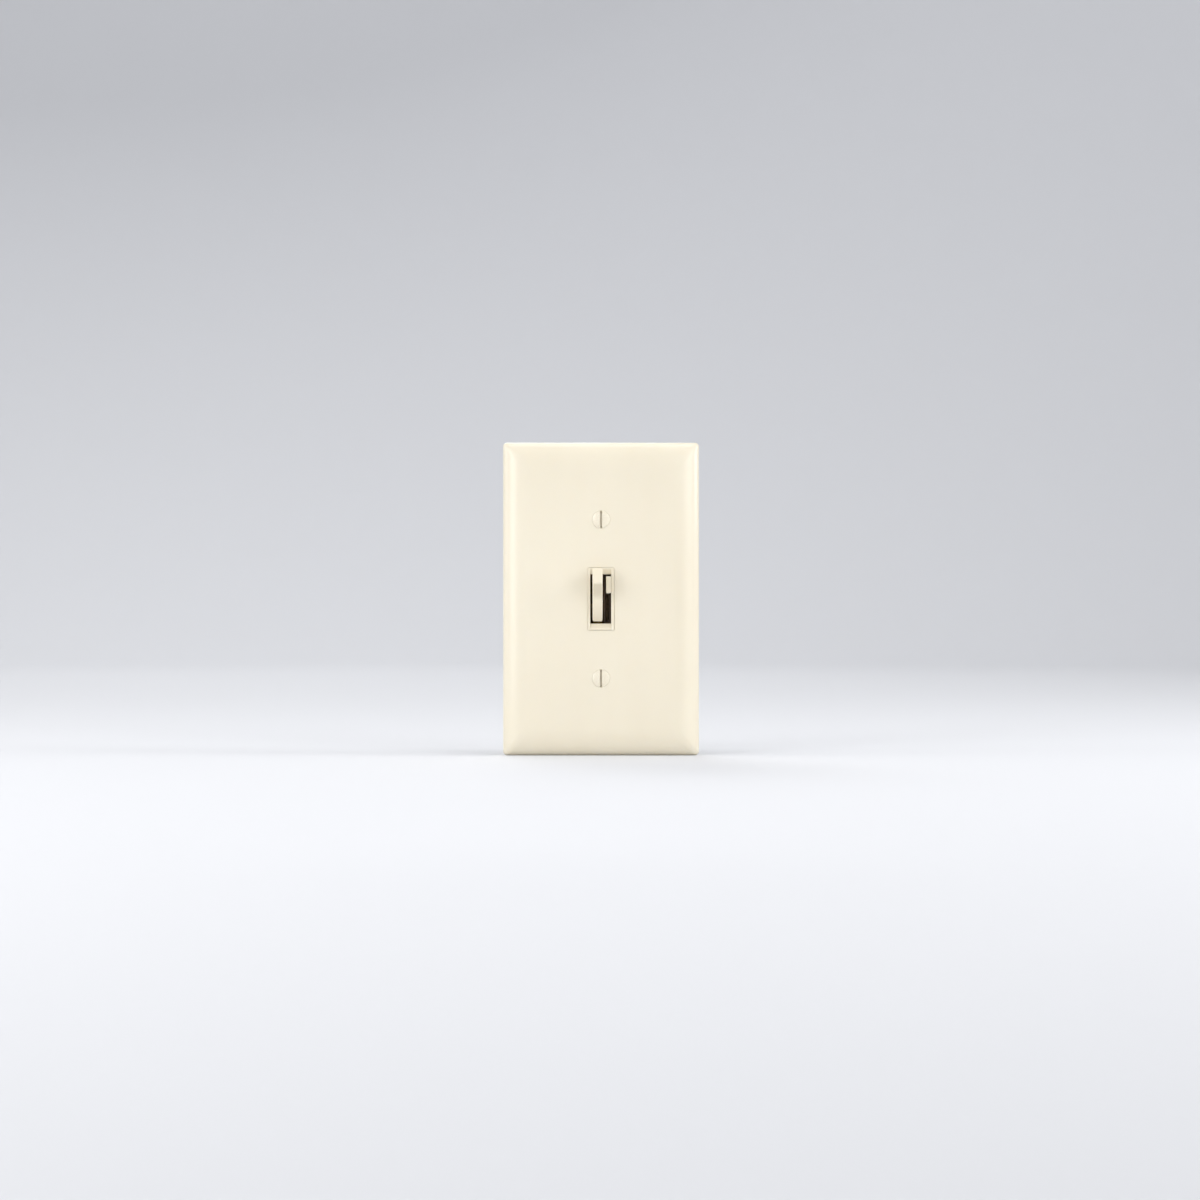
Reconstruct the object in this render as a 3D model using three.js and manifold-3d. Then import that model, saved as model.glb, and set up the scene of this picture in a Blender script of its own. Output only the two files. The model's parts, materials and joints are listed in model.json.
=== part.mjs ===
// A one-gang wall dimmer: a toggle switch with a small dimming slide beside it, behind a plain
// screw-on wall plate. Millimetres. +X is the viewer's right, the front faces -Y, +Z is up.
// The origin is on the wall surface (y = 0) at the centre of the device, and the strap's back
// lies on that surface. What is behind the wall surface (y > 0) sits in the wall box.
// It is drawn as installed: toggle up (on) and dimming slide at the top (brightest).

import * as THREE from 'three';
import { mergeVertices } from 'three/addons/utils/BufferGeometryUtils.js';
import Module from 'manifold-3d';

const wasm = await Module();
wasm.setup();

// ---------------------------------------------------------------- driving dimensions

const PLATE = { width: 74.6, height: 119.06, depth: 6.4, border: 9.6, rim: 1.6, corner: 1.5 };
const PLATE_INSIDE = { inset: 2, depth: 4.4, border: 8, rim: 1.2, corner: 1 };
const PLATE_OPENING = { halfWidth: 5.08, halfHeight: 11.95 };
const PLATE_SCREW_Z = 30.16; // 2 3/8 in between the two plate screws
const DEVICE_SCREW_Z = 41.67; // 3 9/32 in between the two screws into the wall box
const MACHINE_SCREW_RADIUS = 1.65; // No. 6-32
const FIT = 0.1; // gap between still neighbours
const TURNED_FIT = 0.3; // gap around anything that turns

const STRAP = { front: -1.6, halfWidth: 23, halfHeight: 36, finHalfWidth: 28, finHalfHeight: 26 };
const STRAP_EAR = { tongueHalfWidth: 8.5, halfWidth: 13, from: 45.5, to: 53.2, score: 0.4 };
const STRAP_WINDOW = { halfWidth: 7.6, halfHeight: 15.2 };

const BEZEL = { front: -6.8, halfWidth: 4.95, halfHeight: 11.8 };
const BEZEL_SLOT = { left: -4.1, right: 3.83, halfHeight: 9.35, lipTop: 11.3, lipDepth: 1 };
const PARTITION = { left: 1, right: 1.6, front: -0.6 }; // wall between toggle and slide
const SLIDE_FLOOR = 2; // the ledge beside the slide's slit
const SLIDE_SLIT = { left: 1.75, right: 2.9, halfHeight: 8.3 };
const GUIDE = { halfWidth: 7.4, halfHeight: 15, front: -1.6, back: 4 };
const GUIDE_PEGS = { x: 6, z: 13.6, radius: 0.6, length: 2.2 }; // join the switch frame to the guide

const LEVER = { x: -1.33, y: 1.2, width: 3.8, tilt: 27, bossRadius: 11, bossHalfAngle: 77.9 };
const LEVER_ARM = { length: 19.5, rootHalf: 4.15, tipHalf: 3.45, round: 0.6 };
const LEVER_CHAMBER_RADIUS = 11.4;
const HEEL = { length: 8.6, half: 2.3, pocketRadius: 1.35, pocketFrom: 4 };
const AXLE_RADIUS = 1.2;
const PLUNGER = { radius: 1.05, from: 7.2, tip: 11.8 };

const ROCKER = { y: 15, tilt: 8, armSlope: 21, armReach: 8.6, width: 3.4, thickness: 0.8 };
const ROCKER_FRONT = -1.3; // front of the rocker's V at its middle, from its pivot
const CONTACT = { radius: 1.1, height: 0.7, reach: 7.6, gap: 0.3 };

const KNOB = { left: 1.9, right: 3.74, low: 2.16, high: 8.58, front: -8.8 };
const KNOB_Z = (KNOB.low + KNOB.high) / 2;
const STEM = { left: 1.95, right: 2.75, halfHeight: 2 };
const POT = { left: 1.1, right: 8.9, front: 5, back: 12.4, halfHeight: 19, wall: 0.6 };

const HOUSING = { halfWidth: 22, halfHeight: 34.5, front: 0.15, back: 30, wall: 2 };
const HOUSING_NOTCH = { right: -12.5, top: -27 }; // corner left free for the earth screw
const HOUSING_SCREWS = [[17.8, 28.8], [-17.8, 28.8], [17.8, -28.8], [-17.8, -22.5]];
const BOSS_RADIUS = 3;
const BOARD = { front: 21, back: 22.6, halfWidth: 19, halfHeight: 31 };
const BOARD_POSTS = [[12, 26], [-6, -28.5], [12, -26], [-14, 24]];
const BOARD_SCREWS = BOARD_POSTS.slice(0, 2);
const SEAT = BOARD.front - FIT; // where the board's components stand

const TERMINALS = [
  { name: 'line', side: -1, z: -6 },
  { name: 'load', side: 1, z: 12 },
];
const TERMINAL = { y: 13, window: 5.5, leafHalf: 4.5, leafX: 18.9, thickness: 0.8 };
const EARTH_SCREW = { x: -17.6, z: -31 };
const TRIAC = { x: 13, top: -9, bottom: -24.5, holeZ: -21.8, half: 5, bodyBottom: -18 };
const CHOKE = { x: -8.6, z: 20 };

const ROUND = 20; // sides of a screw or pin
const RAD = Math.PI / 180;

const FINISH = {
  ivory: { color: '#f0e6cd', roughness: 0.35, metalness: 0 },
  blackPlastic: { color: '#2a2a2b', roughness: 0.55, metalness: 0 },
  brownPhenolic: { color: '#3a2e20', roughness: 0.5, metalness: 0 },
  aluminium: { color: '#c3c5c8', roughness: 0.45, metalness: 1 },
  zincSteel: { color: '#bfc0bd', roughness: 0.35, metalness: 1 },
  greenSteel: { color: '#2f8f4e', roughness: 0.4, metalness: 0.6 },
  brass: { color: '#c9a24d', roughness: 0.35, metalness: 1 },
  silver: { color: '#dcdcda', roughness: 0.3, metalness: 1 },
  nylon: { color: '#f4f2ea', roughness: 0.5, metalness: 0 },
  fishPaper: { color: '#8a8f86', roughness: 0.85, metalness: 0 },
  card: { color: '#b7774a', roughness: 0.9, metalness: 0 },
  board: { color: '#a98245', roughness: 0.6, metalness: 0 },
  epoxy: { color: '#1d1e20', roughness: 0.6, metalness: 0 },
  filmCase: { color: '#b33a2a', roughness: 0.4, metalness: 0 },
  ferrite: { color: '#e0c341', roughness: 0.5, metalness: 0 },
  copperWire: { color: '#b4652e', roughness: 0.3, metalness: 1 },
  resistorBody: { color: '#cdb38a', roughness: 0.5, metalness: 0 },
  diacGlass: { color: '#3f6fae', roughness: 0.3, metalness: 0 },
};

// ---------------------------------------------------------------- solids from three.js shapes

// Turns a closed geometry into a manifold solid, whichever way round its faces were drawn.
function solid(geometry) {
  const bare = new THREE.BufferGeometry();
  bare.setAttribute('position', geometry.getAttribute('position'));
  if (geometry.index) bare.setIndex(geometry.index);
  const merged = mergeVertices(bare, 1e-4);
  const points = merged.attributes.position.array;
  const corners = merged.index.array;
  const faces = [];
  let volume = 0;
  for (let i = 0; i < corners.length; i += 3) {
    const [a, b, c] = [corners[i], corners[i + 1], corners[i + 2]];
    if (a === b || b === c || c === a) continue;
    faces.push([a, b, c]);
    const [p, q, r] = [a, b, c].map((k) => new THREE.Vector3().fromArray(points, 3 * k));
    volume += p.dot(q.cross(r));
  }
  const outward = volume > 0 ? faces : faces.map(([a, b, c]) => [a, c, b]);
  return new wasm.Manifold(new wasm.Mesh({
    numProp: 3,
    vertProperties: new Float32Array(points),
    triVerts: new Uint32Array(outward.flat()),
  }));
}

function joined(...solids) {
  return solids.reduce((whole, piece) => whole.add(piece));
}

function cut(body, ...tools) {
  return tools.reduce((rest, tool) => rest.subtract(tool), body);
}

function block([x0, x1], [y0, y1], [z0, z1]) {
  const box = new THREE.BoxGeometry(x1 - x0, y1 - y0, z1 - z0);
  return solid(box.translate((x0 + x1) / 2, (y0 + y1) / 2, (z0 + z1) / 2));
}

// A closed outline with every corner rounded, as a shape.
function roundedOutline(points, radius) {
  const shape = new THREE.Shape();
  points.forEach(([x, y], i) => {
    const corner = new THREE.Vector2(x, y);
    const before = new THREE.Vector2(...points.at(i - 1));
    const after = new THREE.Vector2(...points[(i + 1) % points.length]);
    const start = corner.clone().add(before.sub(corner).setLength(radius));
    const end = corner.clone().add(after.sub(corner).setLength(radius));
    if (i === 0) shape.moveTo(start.x, start.y);
    else shape.lineTo(start.x, start.y);
    shape.quadraticCurveTo(x, y, end.x, end.y);
  });
  shape.closePath();
  return shape;
}

function rectangle(x0, x1, z0, z1, radius) {
  return roundedOutline([[x0, z0], [x1, z0], [x1, z1], [x0, z1]], radius);
}

// A prism along Y of a shape drawn in (x, z), its edges rounded over by `edge` where given.
function prismY(shape, y0, y1, edge = 0) {
  const geometry = new THREE.ExtrudeGeometry(shape, {
    depth: y1 - y0 - 2 * edge,
    curveSegments: 4,
    bevelEnabled: edge > 0,
    bevelThickness: edge,
    bevelSize: edge,
    bevelOffset: -edge,
    bevelSegments: 2,
  });
  return solid(geometry.rotateX(Math.PI / 2).translate(0, y1 - edge, 0));
}

// A prism along X of a polygon drawn in (y, z), its edges rounded over by `edge` where given.
function prismX(points, x0, x1, edge = 0) {
  const outline = new THREE.Shape(points.map(([y, z]) => new THREE.Vector2(y, z)));
  const geometry = new THREE.ExtrudeGeometry(outline, {
    depth: x1 - x0 - 2 * edge,
    bevelEnabled: edge > 0,
    bevelThickness: edge,
    bevelSize: edge,
    bevelOffset: -edge,
    bevelSegments: 2,
  });
  const [x, y, z] = [0, 1, 2].map((i) => new THREE.Vector3().setComponent(i, 1));
  geometry.applyMatrix4(new THREE.Matrix4().makeBasis(y, z, x));
  return solid(geometry.translate(x0 + edge, 0, 0));
}

// A solid of revolution about an axis parallel to x, y or z: profile is [radius, along] pairs.
function turned(axis, profile, at = [0, 0, 0], sides = ROUND) {
  const geometry = new THREE.LatheGeometry(profile.map(([r, t]) => new THREE.Vector2(r, t)), sides);
  if (axis === 'x') geometry.rotateZ(-Math.PI / 2);
  if (axis === 'z') geometry.rotateX(Math.PI / 2);
  return solid(geometry.translate(...at));
}

function rod(axis, radius, from, to, at = [0, 0, 0], sides = ROUND) {
  return turned(axis, [[0, from], [radius, from], [radius, to], [0, to]], at, sides);
}

function ring(axis, inner, outer, from, to, at, sides) {
  const profile = [[inner, from], [outer, from], [outer, to], [inner, to], [inner, from]];
  return turned(axis, profile, at, sides);
}

// A wire of round section along a smooth curve through the points.
function wire(points, radius, steps, sides) {
  const path = new THREE.CatmullRomCurve3(points.map((p) => new THREE.Vector3(...p)));
  const section = new THREE.Shape().absarc(0, 0, radius, 0, 2 * Math.PI);
  return solid(new THREE.ExtrudeGeometry(section, {
    steps,
    curveSegments: sides,
    extrudePath: path,
  }));
}

const dimmer = new THREE.Group();

function piece(name, body, finish, parent = dimmer) {
  const { vertProperties, triVerts } = body.getMesh();
  const geometry = new THREE.BufferGeometry();
  geometry.setAttribute('position', new THREE.BufferAttribute(vertProperties, 3));
  geometry.setIndex(new THREE.BufferAttribute(triVerts, 1));
  geometry.computeVertexNormals();
  const mesh = new THREE.Mesh(geometry, new THREE.MeshStandardMaterial(FINISH[finish]));
  mesh.name = name;
  parent.add(mesh);
}

// ---------------------------------------------------------------- wall plate and its screws

// One closed ring of points round a rectangle with round corners, at height y.
function rectangleRing(halfWidth, halfHeight, radius, y, steps = 3) {
  const points = [];
  const centres = [[1, 1], [-1, 1], [-1, -1], [1, -1]];
  centres.forEach(([sx, sz], quarter) => {
    for (let i = 0; i <= steps; i += 1) {
      const angle = (quarter + i / steps) * (Math.PI / 2);
      const x = sx * (halfWidth - radius) + radius * Math.cos(angle);
      const z = sz * (halfHeight - radius) + radius * Math.sin(angle);
      points.push([x, y, z]);
    }
  });
  return points;
}

// Skins a stack of rings with equal counts of points, and closes both ends.
function loft(rings) {
  const count = rings[0].length;
  const positions = rings.flat(2);
  const index = [];
  for (let level = 0; level + 1 < rings.length; level += 1) {
    for (let i = 0; i < count; i += 1) {
      const [a, b] = [level * count + i, level * count + ((i + 1) % count)];
      index.push(a, b, b + count, a, b + count, a + count);
    }
  }
  const last = (rings.length - 1) * count;
  for (let i = 1; i + 1 < count; i += 1) {
    index.push(0, i + 1, i, last, last + i, last + i + 1);
  }
  const geometry = new THREE.BufferGeometry();
  geometry.setAttribute('position', new THREE.Float32BufferAttribute(positions, 3));
  geometry.setIndex(index);
  return solid(geometry);
}

// The pillow form of the plate: a straight rim, then a border that curves over to a flat face.
function pillow(halfWidth, halfHeight, { depth, border, rim, corner }, back) {
  const steps = 7;
  const rings = [rectangleRing(halfWidth, halfHeight, corner, back)];
  for (let i = 0; i <= steps; i += 1) {
    const angle = (i / steps) * (Math.PI / 2);
    const inset = border * (1 - Math.cos(angle));
    const y = -(rim + (depth - rim) * Math.sin(angle));
    rings.push(rectangleRing(halfWidth - inset, halfHeight - inset, corner, y));
  }
  return loft(rings);
}

function wallPlate() {
  const [halfWidth, halfHeight] = [PLATE.width / 2, PLATE.height / 2];
  const shell = cut(
    pillow(halfWidth, halfHeight, PLATE, 0),
    pillow(halfWidth - PLATE_INSIDE.inset, halfHeight - PLATE_INSIDE.inset, PLATE_INSIDE, 1),
  );
  const insideFront = -PLATE_INSIDE.depth;
  const extras = [];
  const holes = [];
  for (const z of [PLATE_SCREW_Z, -PLATE_SCREW_Z]) {
    extras.push(rod('y', 4.2, insideFront - 0.1, STRAP.front - 0.2, [0, 0, z]));
    extras.push(block([-34.5, 34.5], [insideFront - 0.1, insideFront + 0.9], [z - 0.5, z + 0.5]));
    const hole = [[0, -1], [1.95, -1], [1.95, -4.55], [3.6, -6.35], [3.6, -7], [0, -7]];
    holes.push(turned('y', hole, [0, 0, z], 28));
  }
  const { halfWidth: x, halfHeight: z } = PLATE_OPENING;
  const opening = prismY(rectangle(-x, x, -z, z, 0.6), -8, 0);
  return cut(joined(shell, ...extras), opening, ...holes);
}

function plateScrew(z) {
  const profile = [
    [0, 6.2], [1.3, 6.2], [MACHINE_SCREW_RADIUS, 5.6], [MACHINE_SCREW_RADIUS, -4.45],
    [3.4, -6.36], [3.4, -6.5], [2.9, -6.75], [1.5, -6.93], [0, -6.97],
  ];
  const slot = block([-0.4, 0.4], [-7.5, -5.6], [z - 4, z + 4]);
  return cut(turned('y', profile, [0, 0, z], 28), slot);
}

// ---------------------------------------------------------------- strap, its screws and their retainers

function strap() {
  const { front, halfWidth, halfHeight, finHalfWidth, finHalfHeight } = STRAP;
  const ear = STRAP_EAR;
  const sheet = [
    rectangle(-halfWidth, halfWidth, -halfHeight, halfHeight, 2),
    rectangle(-finHalfWidth, finHalfWidth, -finHalfHeight, finHalfHeight, 1.5),
    rectangle(-ear.tongueHalfWidth, ear.tongueHalfWidth, -ear.to, ear.to, 1),
    rectangle(-ear.halfWidth, ear.halfWidth, ear.from, ear.to, 1.5),
    rectangle(-ear.halfWidth, ear.halfWidth, -ear.to, -ear.from, 1.5),
  ].map((outline) => prismY(outline, front, 0));
  const window = block(
    [-STRAP_WINDOW.halfWidth, STRAP_WINDOW.halfWidth],
    [-3, 1],
    [-STRAP_WINDOW.halfHeight, STRAP_WINDOW.halfHeight],
  );
  const hole = (x, z, radius) => rod('y', radius, -3, 1, [x, 0, z]);
  const holes = [hole(TRIAC.x, TRIAC.holeZ, 1.6), hole(EARTH_SCREW.x, EARTH_SCREW.z, 1.75)];
  HOUSING_SCREWS.forEach(([x, z]) => holes.push(hole(x, z, 1.3)));
  for (const side of [1, -1]) {
    holes.push(hole(0, side * PLATE_SCREW_Z, 1.75));
    const z = side * DEVICE_SCREW_Z;
    holes.push(prismY(rectangle(-3.4, 3.4, z - 2, z + 2, 1.9), -3, 1));
    // score lines that let the fins and the plaster ears be snapped off
    const finZ = finHalfHeight + 1;
    const fin = side * (halfWidth + 0.5);
    holes.push(block([fin - 0.3, fin + 0.3], [-ear.score, 1], [-finZ, finZ]));
    const score = side * (ear.tongueHalfWidth + 0.5);
    for (const end of [1, -1]) {
      const [low, high] = [end * (ear.from - 1), end * (ear.to + 1)].sort((a, b) => a - b);
      holes.push(block([score - 0.25, score + 0.25], [-ear.score, 1], [low, high]));
    }
  }
  return cut(joined(...sheet), window, ...holes);
}

// A pan-head machine screw along Y, head in front of the strap, with a straight slot.
function strapScrew(x, z, shankRadius, headRadius, headHeight, tipY) {
  const seat = STRAP.front - FIT;
  const profile = [
    [0, tipY], [shankRadius * 0.7, tipY], [shankRadius, tipY - 1], [shankRadius, seat],
    [headRadius, seat], [headRadius, seat - headHeight * 0.6],
    [headRadius * 0.6, seat - headHeight], [0, seat - headHeight],
  ];
  const top = seat - headHeight;
  const slot = block([x - 5, x + 5], [top - 1, top + 0.8], [z - 0.45, z + 0.45]);
  return cut(turned('y', profile, [x, 0, z]), slot);
}

function earthScrew() {
  const { x, z } = EARTH_SCREW;
  const profile = [
    [0, -3.4], [MACHINE_SCREW_RADIUS, -3.4], [MACHINE_SCREW_RADIUS, FIT],
    [3.6, FIT], [3.6, 2.1], [0, 2.1],
  ];
  const slot = block([x - 5, x + 5], [1.3, 3], [z - 0.5, z + 0.5]);
  return cut(turned('y', profile, [x, 0, z], 6), slot);
}

function screwRetainer(z) {
  const square = prismY(rectangle(-5, 5, z - 5, z + 5, 0.8), FIT, 0.9);
  return cut(square, rod('y', 1.8, 0, 2, [0, 0, z]));
}

// ---------------------------------------------------------------- switch frame seen in the plate

// What the toggle swings in, cut from whatever surrounds it.
function leverChamber() {
  const across = [BEZEL_SLOT.left, PARTITION.left];
  return joined(
    rod('x', LEVER_CHAMBER_RADIUS, ...across, [0, LEVER.y, 0], 64),
    block(across, [LEVER.y, 5], [-LEVER_CHAMBER_RADIUS, LEVER_CHAMBER_RADIUS]),
  );
}

function guidePegs(radius, from, to) {
  const { x, z } = GUIDE_PEGS;
  return [[x, z], [-x, z], [-x, -z], [x, -z]].map(([px, pz]) => (
    rod('y', radius, from, to, [px, 0, pz], 12)
  ));
}

// The ivory frame in the plate's opening, with a flange that lies on the strap.
function bezelFrame() {
  const { left, right, halfHeight, lipTop, lipDepth } = BEZEL_SLOT;
  const flangeBack = STRAP.front - FIT;
  const lip = (side) => prismX([
    [BEZEL.front - 0.1, side * (lipTop + 0.1)],
    [BEZEL.front + lipDepth, side * halfHeight],
    [BEZEL.front + lipDepth, 0],
    [BEZEL.front - 0.1, 0],
  ], left, right);
  return cut(
    joined(
      prismY(rectangle(-BEZEL.halfWidth, BEZEL.halfWidth, -BEZEL.halfHeight, BEZEL.halfHeight, 0.5),
        BEZEL.front, -4),
      prismY(rectangle(-10, 10, -19, 19, 1.5), -4.2, flangeBack),
      ...guidePegs(GUIDE_PEGS.radius, flangeBack - 0.2, flangeBack + GUIDE_PEGS.length),
    ),
    leverChamber(),
    block([left, right], [-8, 0], [-halfHeight, halfHeight]),
    lip(1),
    lip(-1),
  );
}

// The dark brown guide behind the frame: it holds the toggle's axle and the slide, and clips into
// the strap's window.
function controlGuide() {
  const { halfWidth, halfHeight, front, back } = GUIDE;
  const slot = BEZEL_SLOT;
  const straight = [-slot.halfHeight, slot.halfHeight];
  const hook = (side) => prismX(
    [[0.15, side * 14.8], [0.15, side * 16.1], [0.6, side * 16.1], [1.9, side * 14.8]], -3, 3,
  );
  const hollowed = cut(
    joined(
      block([-halfWidth, halfWidth], [front, back], [-halfHeight, halfHeight]),
      hook(1),
      hook(-1),
    ),
    leverChamber(),
    block([PARTITION.left - 0.5, slot.right], [-8, PARTITION.front], straight),
    block([PARTITION.right, slot.right], [-8, SLIDE_FLOOR], straight),
    block([SLIDE_SLIT.left, SLIDE_SLIT.right], [0, 5], [-SLIDE_SLIT.halfHeight, SLIDE_SLIT.halfHeight]),
    block([4.7, 6.4], [-1, 5], [-12.5, 12.5]),
    ...guidePegs(GUIDE_PEGS.radius + FIT, front - 1, front + GUIDE_PEGS.length + 0.3),
  );
  // bosses that keep the toggle in the middle of its chamber
  const reach = LEVER.width / 2 + 0.15;
  const bosses = [[slot.left - 0.1, LEVER.x - reach], [LEVER.x + reach, PARTITION.left + 0.1]];
  const pivot = [0, LEVER.y, 0];
  return cut(
    joined(hollowed, ...bosses.map((across) => rod('x', 2, ...across, pivot))),
    rod('x', AXLE_RADIUS + FIT, -8, 1.45, pivot),
  );
}

// ---------------------------------------------------------------- toggle and its snap mechanism

// Half of the toggle's side outline, from heel to tip, as [forward, aside] from the pivot.
function leverHalfOutline() {
  const { bossRadius, bossHalfAngle } = LEVER;
  const { length, rootHalf, tipHalf, round } = LEVER_ARM;
  const points = [[-HEEL.length, HEEL.half - 0.4], [-HEEL.length + 0.4, HEEL.half], [-3, 2.9]];
  const onBoss = (degrees, radius = bossRadius) => [
    radius * Math.cos(degrees * RAD), radius * Math.sin(degrees * RAD),
  ];
  points.push(onBoss(bossHalfAngle, 3.6));
  const filletAt = 33;
  const steps = 7;
  for (let i = 0; i <= steps; i += 1) {
    points.push(onBoss(bossHalfAngle + (i / steps) * (filletAt - bossHalfAngle)));
  }
  const fillet = new THREE.QuadraticBezierCurve(
    new THREE.Vector2(...onBoss(filletAt)),
    new THREE.Vector2(9.8, 4.6),
    new THREE.Vector2(11.8, rootHalf),
  );
  fillet.getPoints(4).slice(1).forEach((p) => points.push([p.x, p.y]));
  for (let i = 0; i <= 3; i += 1) {
    const angle = (1 - i / 3) * (Math.PI / 2);
    points.push([
      length - round + round * Math.cos(angle), tipHalf - round + round * Math.sin(angle),
    ]);
  }
  return points;
}

function toggleLever() {
  const half = leverHalfOutline();
  const outline = [...half, ...half.slice().reverse().map(([s, t]) => [s, -t])];
  const points = outline.map(([forward, aside]) => [-forward, aside]);
  return cut(
    prismX(points, -LEVER.width / 2, LEVER.width / 2, 0.35),
    rod('x', AXLE_RADIUS + TURNED_FIT, -4, 4),
    rod('y', HEEL.pocketRadius, HEEL.pocketFrom, HEEL.length + 1, [0, 0, 0], 16),
  );
}

function plunger() {
  const { radius, from, tip } = PLUNGER;
  const profile = [[0, from], [radius, from]];
  for (let i = 0; i <= 4; i += 1) {
    const angle = (i / 4) * (Math.PI / 2);
    profile.push([radius * Math.cos(angle), tip - radius + radius * Math.sin(angle)]);
  }
  return turned('y', profile, [0, 0, 0], 16);
}

function plungerSpring() {
  const [turns, stepsPerTurn, radius, wireRadius] = [4, 9, 0.8, 0.17];
  const from = HEEL.pocketFrom + 0.4;
  const pitch = (PLUNGER.from - 0.35 - from) / turns;
  const points = [];
  for (let i = 0; i <= turns * stepsPerTurn; i += 1) {
    const angle = (i / stepsPerTurn) * 2 * Math.PI;
    const y = from + (i / stepsPerTurn) * pitch;
    points.push([radius * Math.cos(angle), y, radius * Math.sin(angle)]);
  }
  return wire(points, wireRadius, turns * stepsPerTurn, 3);
}

function contactRocker() {
  const { armSlope, armReach, width, thickness } = ROCKER;
  const rise = armReach * Math.tan(armSlope * RAD);
  const back = thickness / Math.cos(armSlope * RAD);
  const outline = [
    [ROCKER_FRONT - rise, armReach], [ROCKER_FRONT - rise + back, armReach],
    [ROCKER_FRONT + back, 0], [ROCKER_FRONT - rise + back, -armReach],
    [ROCKER_FRONT - rise, -armReach], [ROCKER_FRONT, 0],
  ];
  const strip = prismX(outline, -width / 2, width / 2);
  const hub = rod('x', 1.3, -width / 2, width / 2);
  return cut(joined(strip, hub), rod('x', 0.9, -4, 4));
}

function rockerBracket() {
  const [left, right] = [LEVER.x - 2.8, LEVER.x + 2.8];
  const [low, high] = [-2.2, 2.2];
  const ears = [[left, left + 0.7], [right - 0.7, right]];
  return cut(
    joined(
      block([left, right], [SEAT - 0.7, SEAT], [low, high]),
      ...ears.map((x) => block(x, [ROCKER.y - 1.4, SEAT], [low, high])),
    ),
    rod('x', 0.7, -8, 8, [0, ROCKER.y, 0], 16),
  );
}

function contactButton() {
  return rod('y', CONTACT.radius, 0, CONTACT.height, [0, 0, 0], 16);
}

// Where the rocker's contact button faces its fixed partner at rest, and which way it faces.
function contactFace() {
  const slope = ROCKER.armSlope * RAD;
  const along = new THREE.Vector2(-Math.sin(slope), -Math.cos(slope));
  const outward = new THREE.Vector2(Math.cos(slope), -Math.sin(slope));
  const foot = new THREE.Vector2(ROCKER_FRONT + ROCKER.thickness / Math.cos(slope), 0);
  const base = foot.addScaledVector(along, CONTACT.reach).addScaledVector(outward, FIT);
  const face = base.clone().addScaledVector(outward, CONTACT.height);
  const turn = ROCKER.tilt * RAD;
  const centre = face.rotateAround(new THREE.Vector2(), turn).add(new THREE.Vector2(ROCKER.y, 0));
  return { base, slope, centre, facing: slope - turn };
}

// The strip that carries the fixed contact: a leaf behind the button, and a leg to the board.
function contactArm({ centre, facing }) {
  const normal = new THREE.Vector2(Math.cos(facing), -Math.sin(facing));
  const up = new THREE.Vector2(Math.sin(facing), Math.cos(facing));
  const [near, thickness, half] = [CONTACT.gap + CONTACT.height + FIT, 0.7, 2.4];
  const at = (out, rise) => centre.clone().addScaledVector(normal, out).addScaledVector(up, rise);
  const front = at(near, -half);
  const back = at(near + thickness, -half + thickness);
  const outline = [
    at(near, half), front, new THREE.Vector2(SEAT, front.y), new THREE.Vector2(SEAT, back.y), back,
    at(near + thickness, half),
  ];
  return prismX(outline.map((p) => [p.x, p.y]), LEVER.x - 1.7, LEVER.x + 1.7);
}

// ---------------------------------------------------------------- dimming slide and its resistor

function sliderKnob() {
  const { left, right, low, high, front } = KNOB;
  const capBack = SLIDE_FLOOR - 0.35;
  const cap = [
    [front + 0.3, low], [front, low + 0.3], [front, high - 0.3], [front + 0.3, high],
    [capBack, high], [capBack, low],
  ];
  const stem = [KNOB_Z - STEM.halfHeight, KNOB_Z + STEM.halfHeight];
  return joined(
    prismX(cap, left, right, 0.2),
    block([STEM.left, STEM.right], [capBack - 0.5, POT.front + POT.wall + 0.1], stem),
  );
}

function sliderCarrier() {
  const front = POT.front + POT.wall + 0.2;
  return block([POT.left + 0.85, POT.right - 0.8], [front, 8.4], [KNOB_Z - 3.5, KNOB_Z + 3.5]);
}

function potWiper() {
  const outline = [
    [8.5, KNOB_Z - 3], [8.5, KNOB_Z + 3], [8.75, KNOB_Z + 3], [8.75, KNOB_Z - 2.4],
    [10.1, KNOB_Z - 4.4], [9.95, KNOB_Z - 4.7],
  ];
  return prismX(outline, 3, 7.2);
}

function potFrame() {
  const { left, right, front, back, halfHeight, wall } = POT;
  return cut(
    block([left, right], [front, back], [-halfHeight, halfHeight]),
    block([left + wall, right - wall], [front + wall, back + 1], [-halfHeight + 0.8, halfHeight - 0.8]),
    block([1.8, 2.9], [front - 1, front + 1], [-8.5, 8.5]),
  );
}

// ---------------------------------------------------------------- rear housing and board

// The housing's outline, pulled in by `inset` all round.
function housingOutline(inset, radius) {
  const [x, z] = [HOUSING.halfWidth - inset, HOUSING.halfHeight - inset];
  const [notchX, notchZ] = [HOUSING_NOTCH.right + inset, HOUSING_NOTCH.top + inset];
  return roundedOutline(
    [[x, z], [-x, z], [-x, notchZ], [notchX, notchZ], [notchX, -z], [x, -z]], radius,
  );
}

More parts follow.
